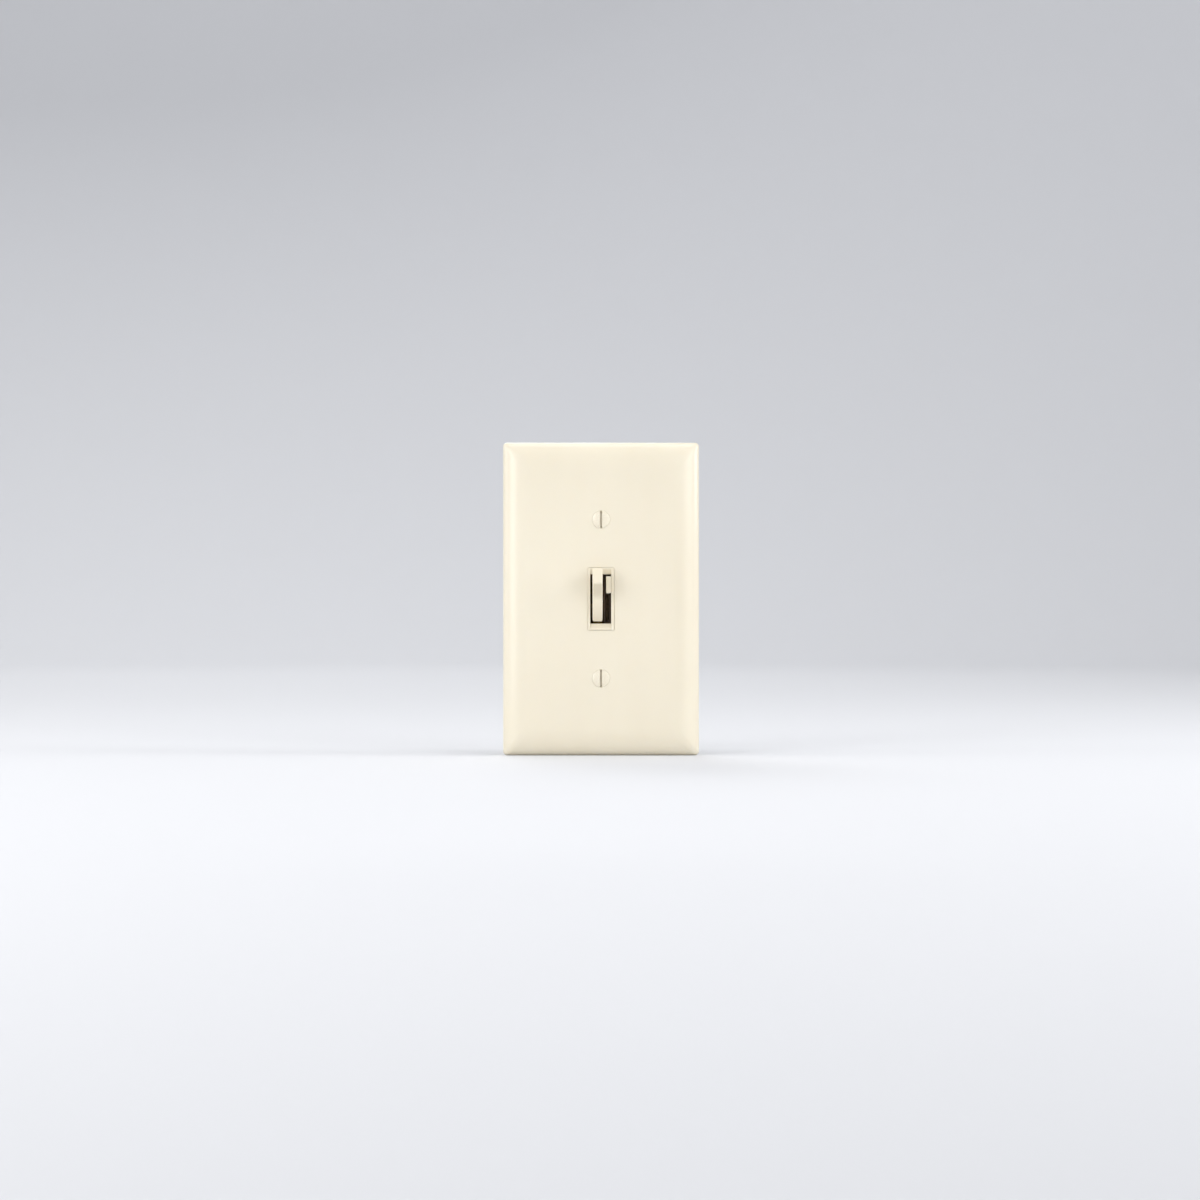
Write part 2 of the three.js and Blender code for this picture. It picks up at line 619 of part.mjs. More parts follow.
function rearHousing() {
  const { front, back, wall } = HOUSING;
  const inside = back - wall;
  const outer = cut(
    prismY(housingOutline(0, 2.5), front - 5, back, 2),
    block([-30, 30], [front - 8, front], [-40, 40]),
  );
  const shell = cut(outer, prismY(housingOutline(wall, 1.2), -1, inside));
  const posts = [];
  const holes = [];
  HOUSING_SCREWS.forEach(([x, z]) => {
    posts.push(rod('y', BOSS_RADIUS, front + 0.15, inside + 0.2, [x, 0, z], 16));
    holes.push(rod('y', 1.35, -1, 11, [x, 0, z], 12));
  });
  BOARD_POSTS.forEach(([x, z]) => {
    posts.push(rod('y', 2.2, BOARD.back + FIT, inside + 0.2, [x, 0, z], 12));
    holes.push(rod('y', 0.95, BOARD.back - 1, inside - 0.6, [x, 0, z], 12));
  });
  TERMINALS.forEach(({ side, z }) => {
    const x = [side * (HOUSING.halfWidth - 3), side * (HOUSING.halfWidth + 1)].sort((a, b) => a - b);
    const { y, window } = TERMINAL;
    holes.push(block(x, [y - window, y + window], [z - window, z + window]));
  });
  return cut(joined(shell, ...posts), ...holes);
}

function insulatingSheet() {
  const [front, back] = [0.2, 0.55];
  const sheet = prismY(housingOutline(HOUSING.wall + 0.4, 1.2), front, back);
  const cuts = HOUSING_SCREWS.map(([x, z]) => rod('y', BOSS_RADIUS + 0.9, -1, 2, [x, 0, z], 24));
  cuts.push(block([-8, 8], [-1, 2], [-17, 17]));
  cuts.push(block([TRIAC.x - 5.5, TRIAC.x + 5.6], [-1, 2], [TRIAC.bottom - 0.6, TRIAC.top + 0.6]));
  for (const z of [PLATE_SCREW_Z, -PLATE_SCREW_Z]) cuts.push(rod('y', 2.2, -1, 2, [0, 0, z], 12));
  return cut(sheet, ...cuts);
}

function circuitBoard() {
  const { front, back, halfWidth: x, halfHeight: z } = BOARD;
  const across = [front - 1, back + 1];
  const sheet = prismY(rectangle(-x, x, -z, z, 0.6), front, back);
  return cut(
    sheet,
    block([14.4, 20], across, [25.4, 32]),
    block([-20, -14.4], across, [25.4, 32]),
    block([14.4, 20], across, [-32, -25.4]),
    block([-20, -9.9], across, [-32, -24.2]),
    block([-20, -14.4], across, [-25, -19]),
    ...BOARD_SCREWS.map(([px, pz]) => rod('y', 1.2, ...across, [px, 0, pz], 12)),
  );
}

function boardScrew([x, z]) {
  const head = [[2.1, SEAT], [2.1, SEAT - 0.6], [1.2, SEAT - 1.3], [0, SEAT - 1.3]];
  const body = turned('y', [[0, 26.5], [0.8, 26], [0.8, SEAT], ...head], [x, 0, z], 16);
  return cut(body, block([x - 3, x + 3], [SEAT - 2, SEAT - 0.7], [z - 0.3, z + 0.3]));
}

// ---------------------------------------------------------------- terminals

function sidePiece(side, from, to) {
  return [side * from, side * to].sort((a, b) => a - b);
}

function terminalPlate({ side, z }) {
  const { leafX, thickness, leafHalf, y } = TERMINAL;
  const across = [z - leafHalf, z + leafHalf];
  return cut(
    joined(
      block(sidePiece(side, leafX, leafX + thickness), [y - 4.4, SEAT], across),
      block(sidePiece(side, 15.5, leafX + thickness), [SEAT - thickness, SEAT], across),
    ),
    rod('x', MACHINE_SCREW_RADIUS + FIT, -30, 30, [0, y, z]),
  );
}

function terminalScrew({ side, z }) {
  const under = TERMINAL.leafX + TERMINAL.thickness + FIT;
  const profile = [
    [0, 13.5], [1.3, 13.5], [MACHINE_SCREW_RADIUS, 14], [MACHINE_SCREW_RADIUS, under],
    [3.7, under], [3.7, under + 1.5], [3.1, under + 2], [0, under + 2],
  ].map(([r, x]) => [r, side * x]);
  const slot = block(
    sidePiece(side, under + 1.1, under + 4), [TERMINAL.y - 5, TERMINAL.y + 5], [z - 0.5, z + 0.5],
  );
  return cut(turned('x', profile, [0, TERMINAL.y, z]), slot);
}

// ---------------------------------------------------------------- electronics

function triacTab(y0, y1, margin) {
  const { x, top, bottom, half, holeZ } = TRIAC;
  const sheet = block(
    [x - half - margin, x + half + margin], [y0, y1], [bottom - margin, top + margin],
  );
  return cut(sheet, rod('y', 1.8, -1, 5, [x, 0, holeZ]));
}

function triacBody() {
  const { x, top, bodyBottom, half } = TRIAC;
  const legs = [-2.54, 0, 2.54].flatMap((dx) => {
    const across = [x + dx - 0.4, x + dx + 0.4];
    return [
      block(across, [2.8, 3.4], [top - 0.1, top + 2.8]),
      block(across, [2.8, SEAT], [top + 2.2, top + 2.8]),
    ];
  });
  return joined(block([x - half, x + half], [1.8, 4.8], [bodyBottom, top]), ...legs);
}

function triacRivet() {
  const seat = STRAP.front - FIT;
  const profile = [
    [0, seat - 0.8], [2.4, seat - 0.8], [2.8, seat], [1.5, seat], [1.5, 1.85],
    [2.6, 1.85], [2.2, 2.6], [0, 2.6],
  ];
  return turned('y', profile, [TRIAC.x, 0, TRIAC.holeZ]);
}

function chokeCore() {
  return ring('y', 3.6, 7.4, 13, 19.6, [CHOKE.x, 0, CHOKE.z], 32);
}

// The winding as one sleeve round the core, open over the gap between its two ends.
function chokeWinding() {
  const at = [CHOKE.x, 0, CHOKE.z];
  const sleeve = cut(
    ring('y', 2.6, 8.5, 11.9, 20.7, at, 32),
    ring('y', 3.4, 7.6, 12.8, 19.8, at, 32),
  );
  const gap = new THREE.Shape([[0, 0], [-6, -12], [6, -12]].map(
    ([x, z]) => new THREE.Vector2(CHOKE.x + x, CHOKE.z + z),
  ));
  return cut(sleeve, prismY(gap, 10, 22));
}

function moulded([x0, x1], [y0, y1], [z0, z1]) {
  return prismY(rectangle(x0, x1, z0, z1, 0.8), y0, y1, 0.4);
}

// A part with a round body along Z and a wire leg to the board at each end.
function axialPart(x, z, radius, half) {
  const y = SEAT - radius - 0.3;
  const body = turned('z', [
    [0, -half], [radius * 0.7, -half], [radius, -half + 0.5], [radius * 0.85, 0],
    [radius, half - 0.5], [radius * 0.7, half], [0, half],
  ], [x, y, z], 16);
  const legs = [-1, 1].flatMap((end) => {
    const far = z + end * (half + 1.6);
    const [low, high] = [z, far].sort((a, b) => a - b);
    return [
      rod('z', 0.3, low, high, [x, y, 0], 8),
      rod('y', 0.3, y - 0.3, SEAT, [x, 0, far - end * 0.3], 8),
    ];
  });
  return joined(body, ...legs);
}

// ---------------------------------------------------------------- assembly

piece('wall_plate', wallPlate(), 'ivory');
piece('plate_screw_upper', plateScrew(PLATE_SCREW_Z), 'ivory');
piece('plate_screw_lower', plateScrew(-PLATE_SCREW_Z), 'ivory');
piece('yoke', strap(), 'aluminium');
piece('bezel_frame', bezelFrame(), 'ivory');
piece('control_guide', controlGuide(), 'brownPhenolic');
for (const [name, side] of [['upper', 1], ['lower', -1]]) {
  const screw = strapScrew(0, side * DEVICE_SCREW_Z, MACHINE_SCREW_RADIUS, 3.5, 1.9, 22);
  piece(`device_screw_${name}`, screw, 'zincSteel');
  piece(`screw_retainer_${name}`, screwRetainer(side * DEVICE_SCREW_Z), 'card');
}
HOUSING_SCREWS.forEach(([x, z], i) => {
  piece(`housing_screw_${i + 1}`, strapScrew(x, z, 1.2, 2.8, 1.4, 10.5), 'zincSteel');
});
piece('ground_screw', earthScrew(), 'greenSteel');
piece('rear_housing', rearHousing(), 'blackPlastic');
piece('insulating_sheet', insulatingSheet(), 'fishPaper');

const toggle = new THREE.Group();
toggle.position.set(LEVER.x, LEVER.y, 0);
toggle.rotation.x = -LEVER.tilt * RAD;
dimmer.add(toggle);
piece('toggle_lever', toggleLever(), 'ivory', toggle);
piece('toggle_plunger', plunger(), 'nylon', toggle);
piece('plunger_spring', plungerSpring(), 'zincSteel', toggle);
piece('toggle_axle', rod('x', AXLE_RADIUS, -7.3, 1.35, [0, LEVER.y, 0]), 'zincSteel');

const rocker = new THREE.Group();
rocker.position.set(LEVER.x, ROCKER.y, 0);
rocker.rotation.x = ROCKER.tilt * RAD;
dimmer.add(rocker);
piece('contact_rocker', contactRocker(), 'brass', rocker);
const facing = contactFace();
const movingSeat = new THREE.Group();
movingSeat.position.set(0, facing.base.x, facing.base.y);
movingSeat.rotation.x = -facing.slope;
rocker.add(movingSeat);
piece('moving_contact', contactButton(), 'silver', movingSeat);
const fixedSeat = new THREE.Group();
fixedSeat.rotation.x = -facing.facing;
fixedSeat.position.set(LEVER.x, facing.centre.x, facing.centre.y);
dimmer.add(fixedSeat);
const fixedContact = new THREE.Group();
fixedContact.position.y = CONTACT.gap;
fixedSeat.add(fixedContact);
piece('fixed_contact', contactButton(), 'silver', fixedContact);
piece('contact_arm', contactArm(facing), 'brass');
piece('rocker_bracket', rockerBracket(), 'brass');
piece('rocker_pin', rod('x', 0.6, LEVER.x - 3.1, LEVER.x + 3.1, [0, ROCKER.y, 0], 16), 'zincSteel');

piece('slider_knob', sliderKnob(), 'ivory');
piece('slider_carrier', sliderCarrier(), 'nylon');
piece('pot_wiper', potWiper(), 'brass');
piece('pot_frame', potFrame(), 'zincSteel');
piece('pot_track_board', block([1.9, 8.1], [10.3, 11.6], [-18, 18]), 'board');

piece('circuit_board', circuitBoard(), 'board');
BOARD_SCREWS.forEach((at, i) => piece(`board_screw_${i + 1}`, boardScrew(at), 'zincSteel'));
TERMINALS.forEach((terminal) => {
  piece(`terminal_plate_${terminal.name}`, terminalPlate(terminal), 'brass');
  piece(`terminal_screw_${terminal.name}`, terminalScrew(terminal), 'brass');
});
piece('triac_pad', triacTab(0.1, 0.35, 0.2), 'nylon');
piece('triac_tab', triacTab(0.45, 1.7, 0), 'zincSteel');
piece('triac_body', triacBody(), 'epoxy');
piece('triac_rivet', triacRivet(), 'aluminium');
piece('choke_core', chokeCore(), 'ferrite');
piece('choke_winding', chokeWinding(), 'copperWire');
piece('filter_capacitor', moulded([-14, -4], [14.4, SEAT], [-24.5, -11.6]), 'filmCase');
piece('timing_capacitor', moulded([4, 11], [14.9, SEAT], [-30.2, -26.8]), 'filmCase');
piece('resistor_1', axialPart(5.5, -17, 1.2, 3.2), 'resistorBody');
piece('resistor_2', axialPart(9, -17, 1.2, 3.2), 'resistorBody');
piece('diac', axialPart(12.5, -16, 0.9, 2), 'diacGlass');

export default dimmer;
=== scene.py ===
import json
import math

import bmesh
import bpy
from mathutils import Matrix, Vector


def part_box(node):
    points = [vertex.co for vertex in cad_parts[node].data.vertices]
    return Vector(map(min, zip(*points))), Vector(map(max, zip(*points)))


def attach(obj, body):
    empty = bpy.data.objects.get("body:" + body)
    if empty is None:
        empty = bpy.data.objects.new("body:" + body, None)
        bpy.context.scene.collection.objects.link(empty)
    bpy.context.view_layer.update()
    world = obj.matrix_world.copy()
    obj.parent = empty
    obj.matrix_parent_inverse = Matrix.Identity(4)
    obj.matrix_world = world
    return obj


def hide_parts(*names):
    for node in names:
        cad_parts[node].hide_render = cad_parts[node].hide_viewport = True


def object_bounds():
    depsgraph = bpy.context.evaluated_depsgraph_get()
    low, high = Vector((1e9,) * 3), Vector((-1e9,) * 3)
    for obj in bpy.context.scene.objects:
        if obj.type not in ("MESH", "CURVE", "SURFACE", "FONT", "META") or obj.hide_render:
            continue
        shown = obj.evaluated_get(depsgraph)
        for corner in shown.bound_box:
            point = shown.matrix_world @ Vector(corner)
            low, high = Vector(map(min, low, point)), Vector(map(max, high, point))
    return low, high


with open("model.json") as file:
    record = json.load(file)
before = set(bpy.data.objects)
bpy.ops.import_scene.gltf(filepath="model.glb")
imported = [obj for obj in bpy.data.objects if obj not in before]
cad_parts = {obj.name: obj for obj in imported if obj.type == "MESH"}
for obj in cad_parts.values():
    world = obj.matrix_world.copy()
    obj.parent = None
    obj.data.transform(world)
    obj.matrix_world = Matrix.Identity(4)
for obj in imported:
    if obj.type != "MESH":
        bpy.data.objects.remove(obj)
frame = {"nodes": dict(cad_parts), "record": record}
cad_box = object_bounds()

# A one-gang wall dimmer in ivory: toggle and dimming slide in a cushion-edged wall plate.
# Shapes are drawn in millimetres in the device's own frame (+X right, -Y out of the wall, +Z up)
# and turned to metres when a mesh is made. Places are read from the CAD pieces' boxes.

MM = 0.001
RECORD = frame["record"]
SLOT_OF = {row["node"]: row["material_slot"] for row in RECORD["subparts"]}
BODY_OF = {node: body for body, nodes in RECORD["behaviour"]["bodies"].items() for node in nodes}
JOINTS = {joint["name"]: joint for joint in RECORD["behaviour"]["joints"]}

TOGGLE_PIVOT = Vector(JOINTS["toggle"]["pos_m"]) / MM
TOGGLE_TILT = 27.0  # degrees that the toggle stands above level at rest
THREAD_PITCH = 0.794  # of a No. 6-32 screw
SEAM = 0.002  # points closer than this are one point
ONTO_Y = Matrix.Rotation(math.radians(-90), 4, "X")  # turns a solid's own Z onto +Y
QUARTER_TURN = math.radians(90)


def box(node):
    """Lowest and highest corner of a CAD piece, in millimetres."""
    low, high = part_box(node)
    return low / MM, high / MM


def middle(node):
    low, high = box(node)
    return (low + high) / 2


# ------------------------------------------------------------------ camera, floor and lights


def linear(hex_colour):
    """An sRGB hex colour as linear RGBA."""
    channels = [int(hex_colour[i:i + 2], 16) / 255 for i in (1, 3, 5)]
    curve = [c / 12.92 if c <= 0.04045 else ((c + 0.055) / 1.055) ** 2.4 for c in channels]
    return (*curve, 1.0)


def stand_camera():
    """A long lens square to the plate, level with the middle of the device."""
    data = bpy.data.cameras.new("camera")
    data.sensor_width = 36
    data.lens = 85
    data.clip_start, data.clip_end = 0.01, 20
    camera = bpy.data.objects.new("camera", data)
    camera.location = (-0.0004, -1.0815, -0.0004)
    camera.rotation_euler = (math.radians(90), 0, 0)
    bpy.context.scene.collection.objects.link(camera)
    bpy.context.scene.camera = camera


def soft_light(name, place, aim, size, power, spread=180):
    """A rectangular softbox at place, facing aim, which lights the set but isn't itself seen."""
    data = bpy.data.lights.new(name, "AREA")
    data.shape = "RECTANGLE"
    data.size, data.size_y = size
    data.energy = power
    data.spread = math.radians(spread)
    light = bpy.data.objects.new(name, data)
    light.location = place
    toward = Vector(aim) - Vector(place)
    light.rotation_euler = toward.to_track_quat("-Z", "Y").to_euler()
    light.visible_camera = False
    bpy.context.scene.collection.objects.link(light)


def light_studio():
    """Tall banks left and right light the plate's rolled borders, a bank above its top border,
    and a small lamp in line with the lens its middle, with a narrow spread that keeps the floor
    under it even. The rear ones light the housing and the paper."""
    soft_light("lens_lamp", (0, -0.55, 0), (0, 0, 0), (0.16, 0.04), 0.0112, 60)
    soft_light("top_bank", (0, -0.5, 0.87), (0, 0, 0), (1.2, 0.4), 0.3)
    soft_light("top_edge", (0, 0, 0.95), (0, 0, 0), (1.0, 0.3), 3.5)
    soft_light("left_bank", (-0.70, -0.71, 0.27), (0, 0, 0.02), (0.45, 0.6), 4.1)
    soft_light("left_near", (-0.30, -0.95, 0.25), (0, 0, 0.02), (0.35, 0.6), 0.8)
    soft_light("right_bank", (0.70, -0.71, 0.27), (0, 0, 0.02), (0.45, 0.6), 2.8)
    soft_light("right_near", (0.36, -0.93, 0.25), (0, 0, 0.02), (0.25, 0.6), 0.3)
    soft_light("left_edge", (-0.97, -0.1, 0.3), (0, 0, 0.02), (0.3, 0.5), 2.4)
    soft_light("right_edge", (0.97, -0.1, 0.3), (0, 0, 0.02), (0.3, 0.5), 4.5)
    soft_light("rear_bank", (0, 1.1, 0.8), (0, 0, 0), (1.6, 0.8), 0.23)
    soft_light("back_fill", (-0.5, 1.5, 1.3), (0, 0, 0), (1.2, 0.8), 12)
    soft_light("wall_wash", (0, 0.9, 1.5), (0, 2.2, 0.2), (1.8, 0.3), 5.8)
    world = bpy.data.worlds.new("studio_air")
    world.use_nodes = True
    air = world.node_tree.nodes["Background"].inputs
    air["Color"].default_value = linear("#F4F5F7")
    air["Strength"].default_value = 0.40
    bpy.context.scene.world = world
    bpy.context.scene.view_settings.view_transform = "Standard"


# ------------------------------------------------------------------ meshes


def linked(mesh):
    obj = bpy.data.objects.new(mesh.name, mesh)
    bpy.context.scene.collection.objects.link(obj)
    return obj


def settle(obj):
    """Replaces the object's mesh by what its modifiers make of it, and removes them."""
    graph = bpy.context.evaluated_depsgraph_get()
    mesh = bpy.data.meshes.new_from_object(obj.evaluated_get(graph))
    mesh.name = obj.name
    obj.modifiers.clear()
    obj.data = mesh
    return obj


def shade(obj, degrees=32):
    """Smooth faces, with an edge kept sharp where it is steeper than that. Wide flat faces keep
    their own direction, so that they reflect as flat ones do."""
    obj.data.polygons.foreach_set("use_smooth", [True] * len(obj.data.polygons))
    obj.data.set_sharp_from_angle(angle=math.radians(degrees))
    step = obj.modifiers.new("flat_faces_first", "WEIGHTED_NORMAL")
    step.mode = "FACE_AREA"
    step.weight = 90
    step.keep_sharp = True
    return settle(obj)


def solid(name, points, faces):
    """A closed mesh from points in millimetres, its doubles merged and its faces turned out."""
    mesh = bpy.data.meshes.new(name)
    mesh.from_pydata([Vector(p) * MM for p in points], [], faces)
    work = bmesh.new()
    work.from_mesh(mesh)
    bmesh.ops.remove_doubles(work, verts=work.verts, dist=1e-7)
    bmesh.ops.recalc_face_normals(work, faces=work.faces)
    work.to_mesh(mesh)
    work.free()
    return linked(mesh)


def skin(levels, count):
    """The faces between rings of count points each, one ring to a level."""
    faces = []
    for level in range(levels - 1):
        for i in range(count):
            a, b = level * count + i, level * count + (i + 1) % count
            faces.append((a, b, b + count, a + count))
    return faces


def loft(name, rings):
    """A skin over a stack of rings with equal counts of points, closed at both ends."""
    count = len(rings[0])
    last = (len(rings) - 1) * count
    ends = [tuple(range(count)), tuple(range(last, last + count))]
    return solid(name, [p for ring in rings for p in ring], skin(len(rings), count) + ends)


def turned(name, profile, sides=48):
    """A solid turned about its own Z: profile is [radius, height] pairs from end to end."""
    points = []
    for radius, height in profile:
        for i in range(sides):
            a = i / sides * 2 * math.pi
            points.append(Vector((radius * math.cos(a), radius * math.sin(a), height)))
    return solid(name, points, skin(len(profile), sides))


def block(name, x, y, z):
    corners = [(x[i], y[j], z[k]) for i in (0, 1) for j in (0, 1) for k in (0, 1)]
    faces = [(0, 1, 3, 2), (4, 6, 7, 5), (0, 4, 5, 1), (2, 3, 7, 6), (0, 2, 6, 4), (1, 5, 7, 3)]
    return solid(name, corners, faces)


def place(obj, matrix):
    """Moves an object's mesh, given in metres, and leaves the object at the origin."""
    obj.data.transform(matrix)
    if matrix.determinant() < 0:
        obj.data.flip_normals()
    return obj


def weld(obj):
    """Merges the all but equal points that booleans leave along their seams."""
    work = bmesh.new()
    work.from_mesh(obj.data)
    bmesh.ops.remove_doubles(work, verts=work.verts, dist=SEAM * MM)
    bmesh.ops.dissolve_degenerate(work, edges=work.edges, dist=SEAM / 4 * MM)
    work.to_mesh(obj.data)
    work.free()
    return obj


def combine(body, others, how):
    """Joins ("UNION") or cuts ("DIFFERENCE") the other solids, which are used up."""
    for other in others:
        step = body.modifiers.new("combine", "BOOLEAN")
        step.solver = "EXACT"
        step.operation = how
        step.object = other
    settle(body)
    for other in others:
        bpy.data.objects.remove(other)
    return weld(body)


def ease_edges(obj, width, segments=2, degrees=32):
    """Breaks every edge steeper than degrees with a round of that width in millimetres."""
    step = obj.modifiers.new("eased", "BEVEL")
    step.width = width * MM
    step.segments = segments
    step.limit_method = "ANGLE"
    step.angle_limit = math.radians(degrees)
    step.use_clamp_overlap = True
    step.miter_outer = "MITER_ARC"
    return settle(obj)


def copy_of(node, name):
    """A CAD piece's mesh, merged, with its flat faces made whole again."""
    work = bmesh.new()
    work.from_mesh(frame["nodes"][node].data)
    bmesh.ops.remove_doubles(work, verts=work.verts, dist=2e-6)
    bmesh.ops.dissolve_limit(
        work, angle_limit=math.radians(0.8), verts=work.verts, edges=work.edges
    )
    mesh = bpy.data.meshes.new(name)
    work.to_mesh(mesh)
    work.free()
    return linked(mesh)


def arc(centre, radius, start, end, steps):
    """Points on an arc, angles in degrees."""
    points = []
    for i in range(steps + 1):
        a = math.radians(start + (end - start) * i / steps)
        points.append((centre[0] + radius * math.cos(a), centre[1] + radius * math.sin(a)))
    return points


def rounded(corners, radius, steps=6):
    """A closed outline with every square corner, outward or inward, rounded to the radius."""
    outline = []
    for i, corner in enumerate(corners):
        here = Vector(corner)
        back = (Vector(corners[i - 1]) - here).normalized() * radius
        ahead = (Vector(corners[(i + 1) % len(corners)]) - here).normalized() * radius
        centre = here + back + ahead
        for step in range(steps + 1):
            a = step / steps * math.pi / 2
            outline.append(centre - ahead * math.cos(a) - back * math.sin(a))
    return outline


# ------------------------------------------------------------------ finishes


def add(tree, kind, inputs=None, **settings):
    """Adds a shader or geometry node, sets its options, and links or sets its inputs."""
    node = tree.nodes.new(kind)
    for key, value in settings.items():
        setattr(node, key, value)
    for key, value in (inputs or {}).items():
        socket = node.inputs[key]
        if isinstance(value, bpy.types.NodeSocket):
            tree.links.new(value, socket)
        else:
            socket.default_value = value
    return node


def finish(name, colour, roughness, metallic=0.0, **more):
    """A material with its plain values set on the shader, where more holds inputs by name, and
    its tree and object coordinates."""
    material = bpy.data.materials.new(name)
    material.use_nodes = True
    tree = material.node_tree
    shader = tree.nodes["Principled BSDF"]
    shader.inputs["Base Color"].default_value = linear(colour)
    shader.inputs["Roughness"].default_value = roughness
    shader.inputs["Metallic"].default_value = metallic
    for key, value in more.items():
        shader.inputs[key.replace("_", " ").title()].default_value = value
    place_on = tree.nodes.new("ShaderNodeTexCoord").outputs["Object"]
    return material, tree, shader, place_on


def noise(tree, where, size, detail=3.0, rough=0.5, stretch=(1, 1, 1)):
    """Noise whose blotches are about size millimetres across, longer along a stretched axis."""
    scale = [1 / (size * MM * s) for s in stretch]
    mapped = add(tree, "ShaderNodeMapping", {"Vector": where, "Scale": scale})
    texture = add(tree, "ShaderNodeTexNoise", {
        "Vector": mapped.outputs["Vector"], "Scale": 1.0, "Detail": detail, "Roughness": rough,
    })
    return texture.outputs["Fac"]


def between(tree, factor, low, high, start=0.22, end=0.78):
    """The factor, from start to end, as a value from low to high."""
    return add(tree, "ShaderNodeMapRange", {
        "Value": factor, "From Min": start, "From Max": end, "To Min": low, "To Max": high,
    }).outputs["Result"]


def tint(tree, factor, one, other):
    """A colour that goes from one hex to the other with the factor."""
    mix = add(tree, "ShaderNodeMix", {"Factor": factor}, data_type="RGBA")
    mix.inputs[6].default_value = linear(one)
    mix.inputs[7].default_value = linear(other)
    return mix.outputs[2]


def dent(tree, shader, heights, depth, strength=1.0):
    """Bump of that depth in millimetres, added under any bump already there."""
    before = shader.inputs["Normal"].links
    bump = add(tree, "ShaderNodeBump", {
        "Height": heights, "Distance": depth * MM, "Strength": strength,
    })
    if before:
        tree.links.new(before[0].from_socket, bump.inputs["Normal"])
    tree.links.new(bump.outputs["Normal"], shader.inputs["Normal"])


def wire_up(tree, shader, **sockets):
    for key, value in sockets.items():
        tree.links.new(value, shader.inputs[key.replace("_", " ").title()])


def mottle(tree, shader, factor, one, other, low, high, start=0.22, end=0.78):
    """One factor takes the colour from one hex to the other and the roughness from low to high."""
    wire_up(
        tree, shader,
        base_color=tint(tree, between(tree, factor, 0, 1, start, end), one, other),
        roughness=between(tree, factor, low, high, start, end),
    )


def moulded_ivory(name, colour, deeper, roughness, texture):
    """Ivory thermoplastic, injection moulded in a polished tool: a soft gloss that is a little
    uneven, colour that drifts very slightly with the flow, and light that sinks in a little."""
    material, tree, shader, at = finish(
        name, colour, roughness, subsurface_weight=0.12, subsurface_radius=(1.0, 0.75, 0.45),
        subsurface_scale=0.9 * MM,
    )
    shader.inputs["IOR"].default_value = 1.54
    flow = noise(tree, at, 22, 2.0, stretch=(1, 1, 2.2))
    handled = noise(tree, at, 4.5, 4.0)
    wire_up(
        tree, shader,
        base_color=tint(tree, between(tree, flow, 0, 1), colour, deeper),
        roughness=between(tree, handled, roughness - 0.012, roughness + 0.012),
    )
    dent(tree, shader, noise(tree, at, 14, 1.0), 0.008, 0.4)
    # spark-eroded grain, drawn at 0.4 mm where the real one is nearer 0.15 mm
    dent(tree, shader, noise(tree, at, 0.4, 2.0), texture, 0.35)
    return material


def enamelled_head():
    """Baked enamel on a pressed steel screw head: glossier than the plate, with slight orange peel."""
    material, tree, shader, at = finish(
        "baked_enamel_ivory", "#E1D9C5", 0.28, coat_weight=0.3, coat_roughness=0.15
    )
    worn = noise(tree, at, 0.9, 3.0)
    wire_up(
        tree, shader,
        base_color=tint(tree, between(tree, worn, 0, 1, 0.45, 0.75), "#E1D9C5", "#DBD1BA"),
        roughness=between(tree, worn, 0.24, 0.34),
    )
    dent(tree, shader, noise(tree, at, 0.7, 1.0), 0.01, 0.6)
    return material


def rolled_aluminium():
    """Mill-finish aluminium sheet: rolling lines along its length and a soft broken reflection."""
    material, tree, shader, at = finish("mill_finish_aluminium", "#C9CBCD", 0.38, 1.0)
    lines = noise(tree, at, 0.22, 3.0, stretch=(1, 1, 60))
    clouds = noise(tree, at, 7, 3.0)
    wire_up(
        tree, shader,
        base_color=tint(tree, between(tree, clouds, 0, 1), "#D2D4D6", "#B4B7BB"),
        roughness=between(tree, lines, 0.3, 0.48),
    )
    dent(tree, shader, lines, 0.008, 0.6)
    return material


def zinc_plate(name, colour, cooler):
    """Bright zinc on turned or pressed steel: a cool sheen, faint blotches of passivate and fine
    tool marks."""
    material, tree, shader, at = finish(name, colour, 0.3, 1.0)
    blotches = noise(tree, at, 1.6, 4.0)
    marks = noise(tree, at, 0.12, 2.0)
    mottle(tree, shader, blotches, colour, cooler, 0.22, 0.42)
    dent(tree, shader, marks, 0.006, 0.5)
    return material


def glass_filled_black():
    """Black glass-filled thermoplastic from a textured tool: matt, pebbled, with pale bloom where
    the fibres come to the surface."""
    material, tree, shader, at = finish("glass_filled_black", "#1E1F21", 0.5)
    pebbles = noise(tree, at, 0.55, 3.0)
    bloom = noise(tree, at, 9, 4.0, 0.6, stretch=(1, 1, 1.8))
    wire_up(
        tree, shader,
        base_color=tint(tree, between(tree, bloom, 0, 1, 0.4, 0.72), "#1B1C1E", "#2C2D30"),
        roughness=between(tree, bloom, 0.46, 0.6),
    )
    dent(tree, shader, pebbles, 0.03, 0.6)
    return material


def brown_phenolic():
    """Dark brown phenolic, compression moulded: a satin, slightly mottled resin full of wood flour.
    Its dark brown is painted shade: it stands in for the shade deep in the slide's channel round the
    knob.
    """
    material, tree, shader, at = finish("brown_phenolic", "#6A543A", 0.5)
    flour = noise(tree, at, 0.8, 4.0, 0.6)
    mottle(tree, shader, flour, "#624D34", "#755F43", 0.46, 0.58)
    dent(tree, shader, flour, 0.008, 0.5)
    return material


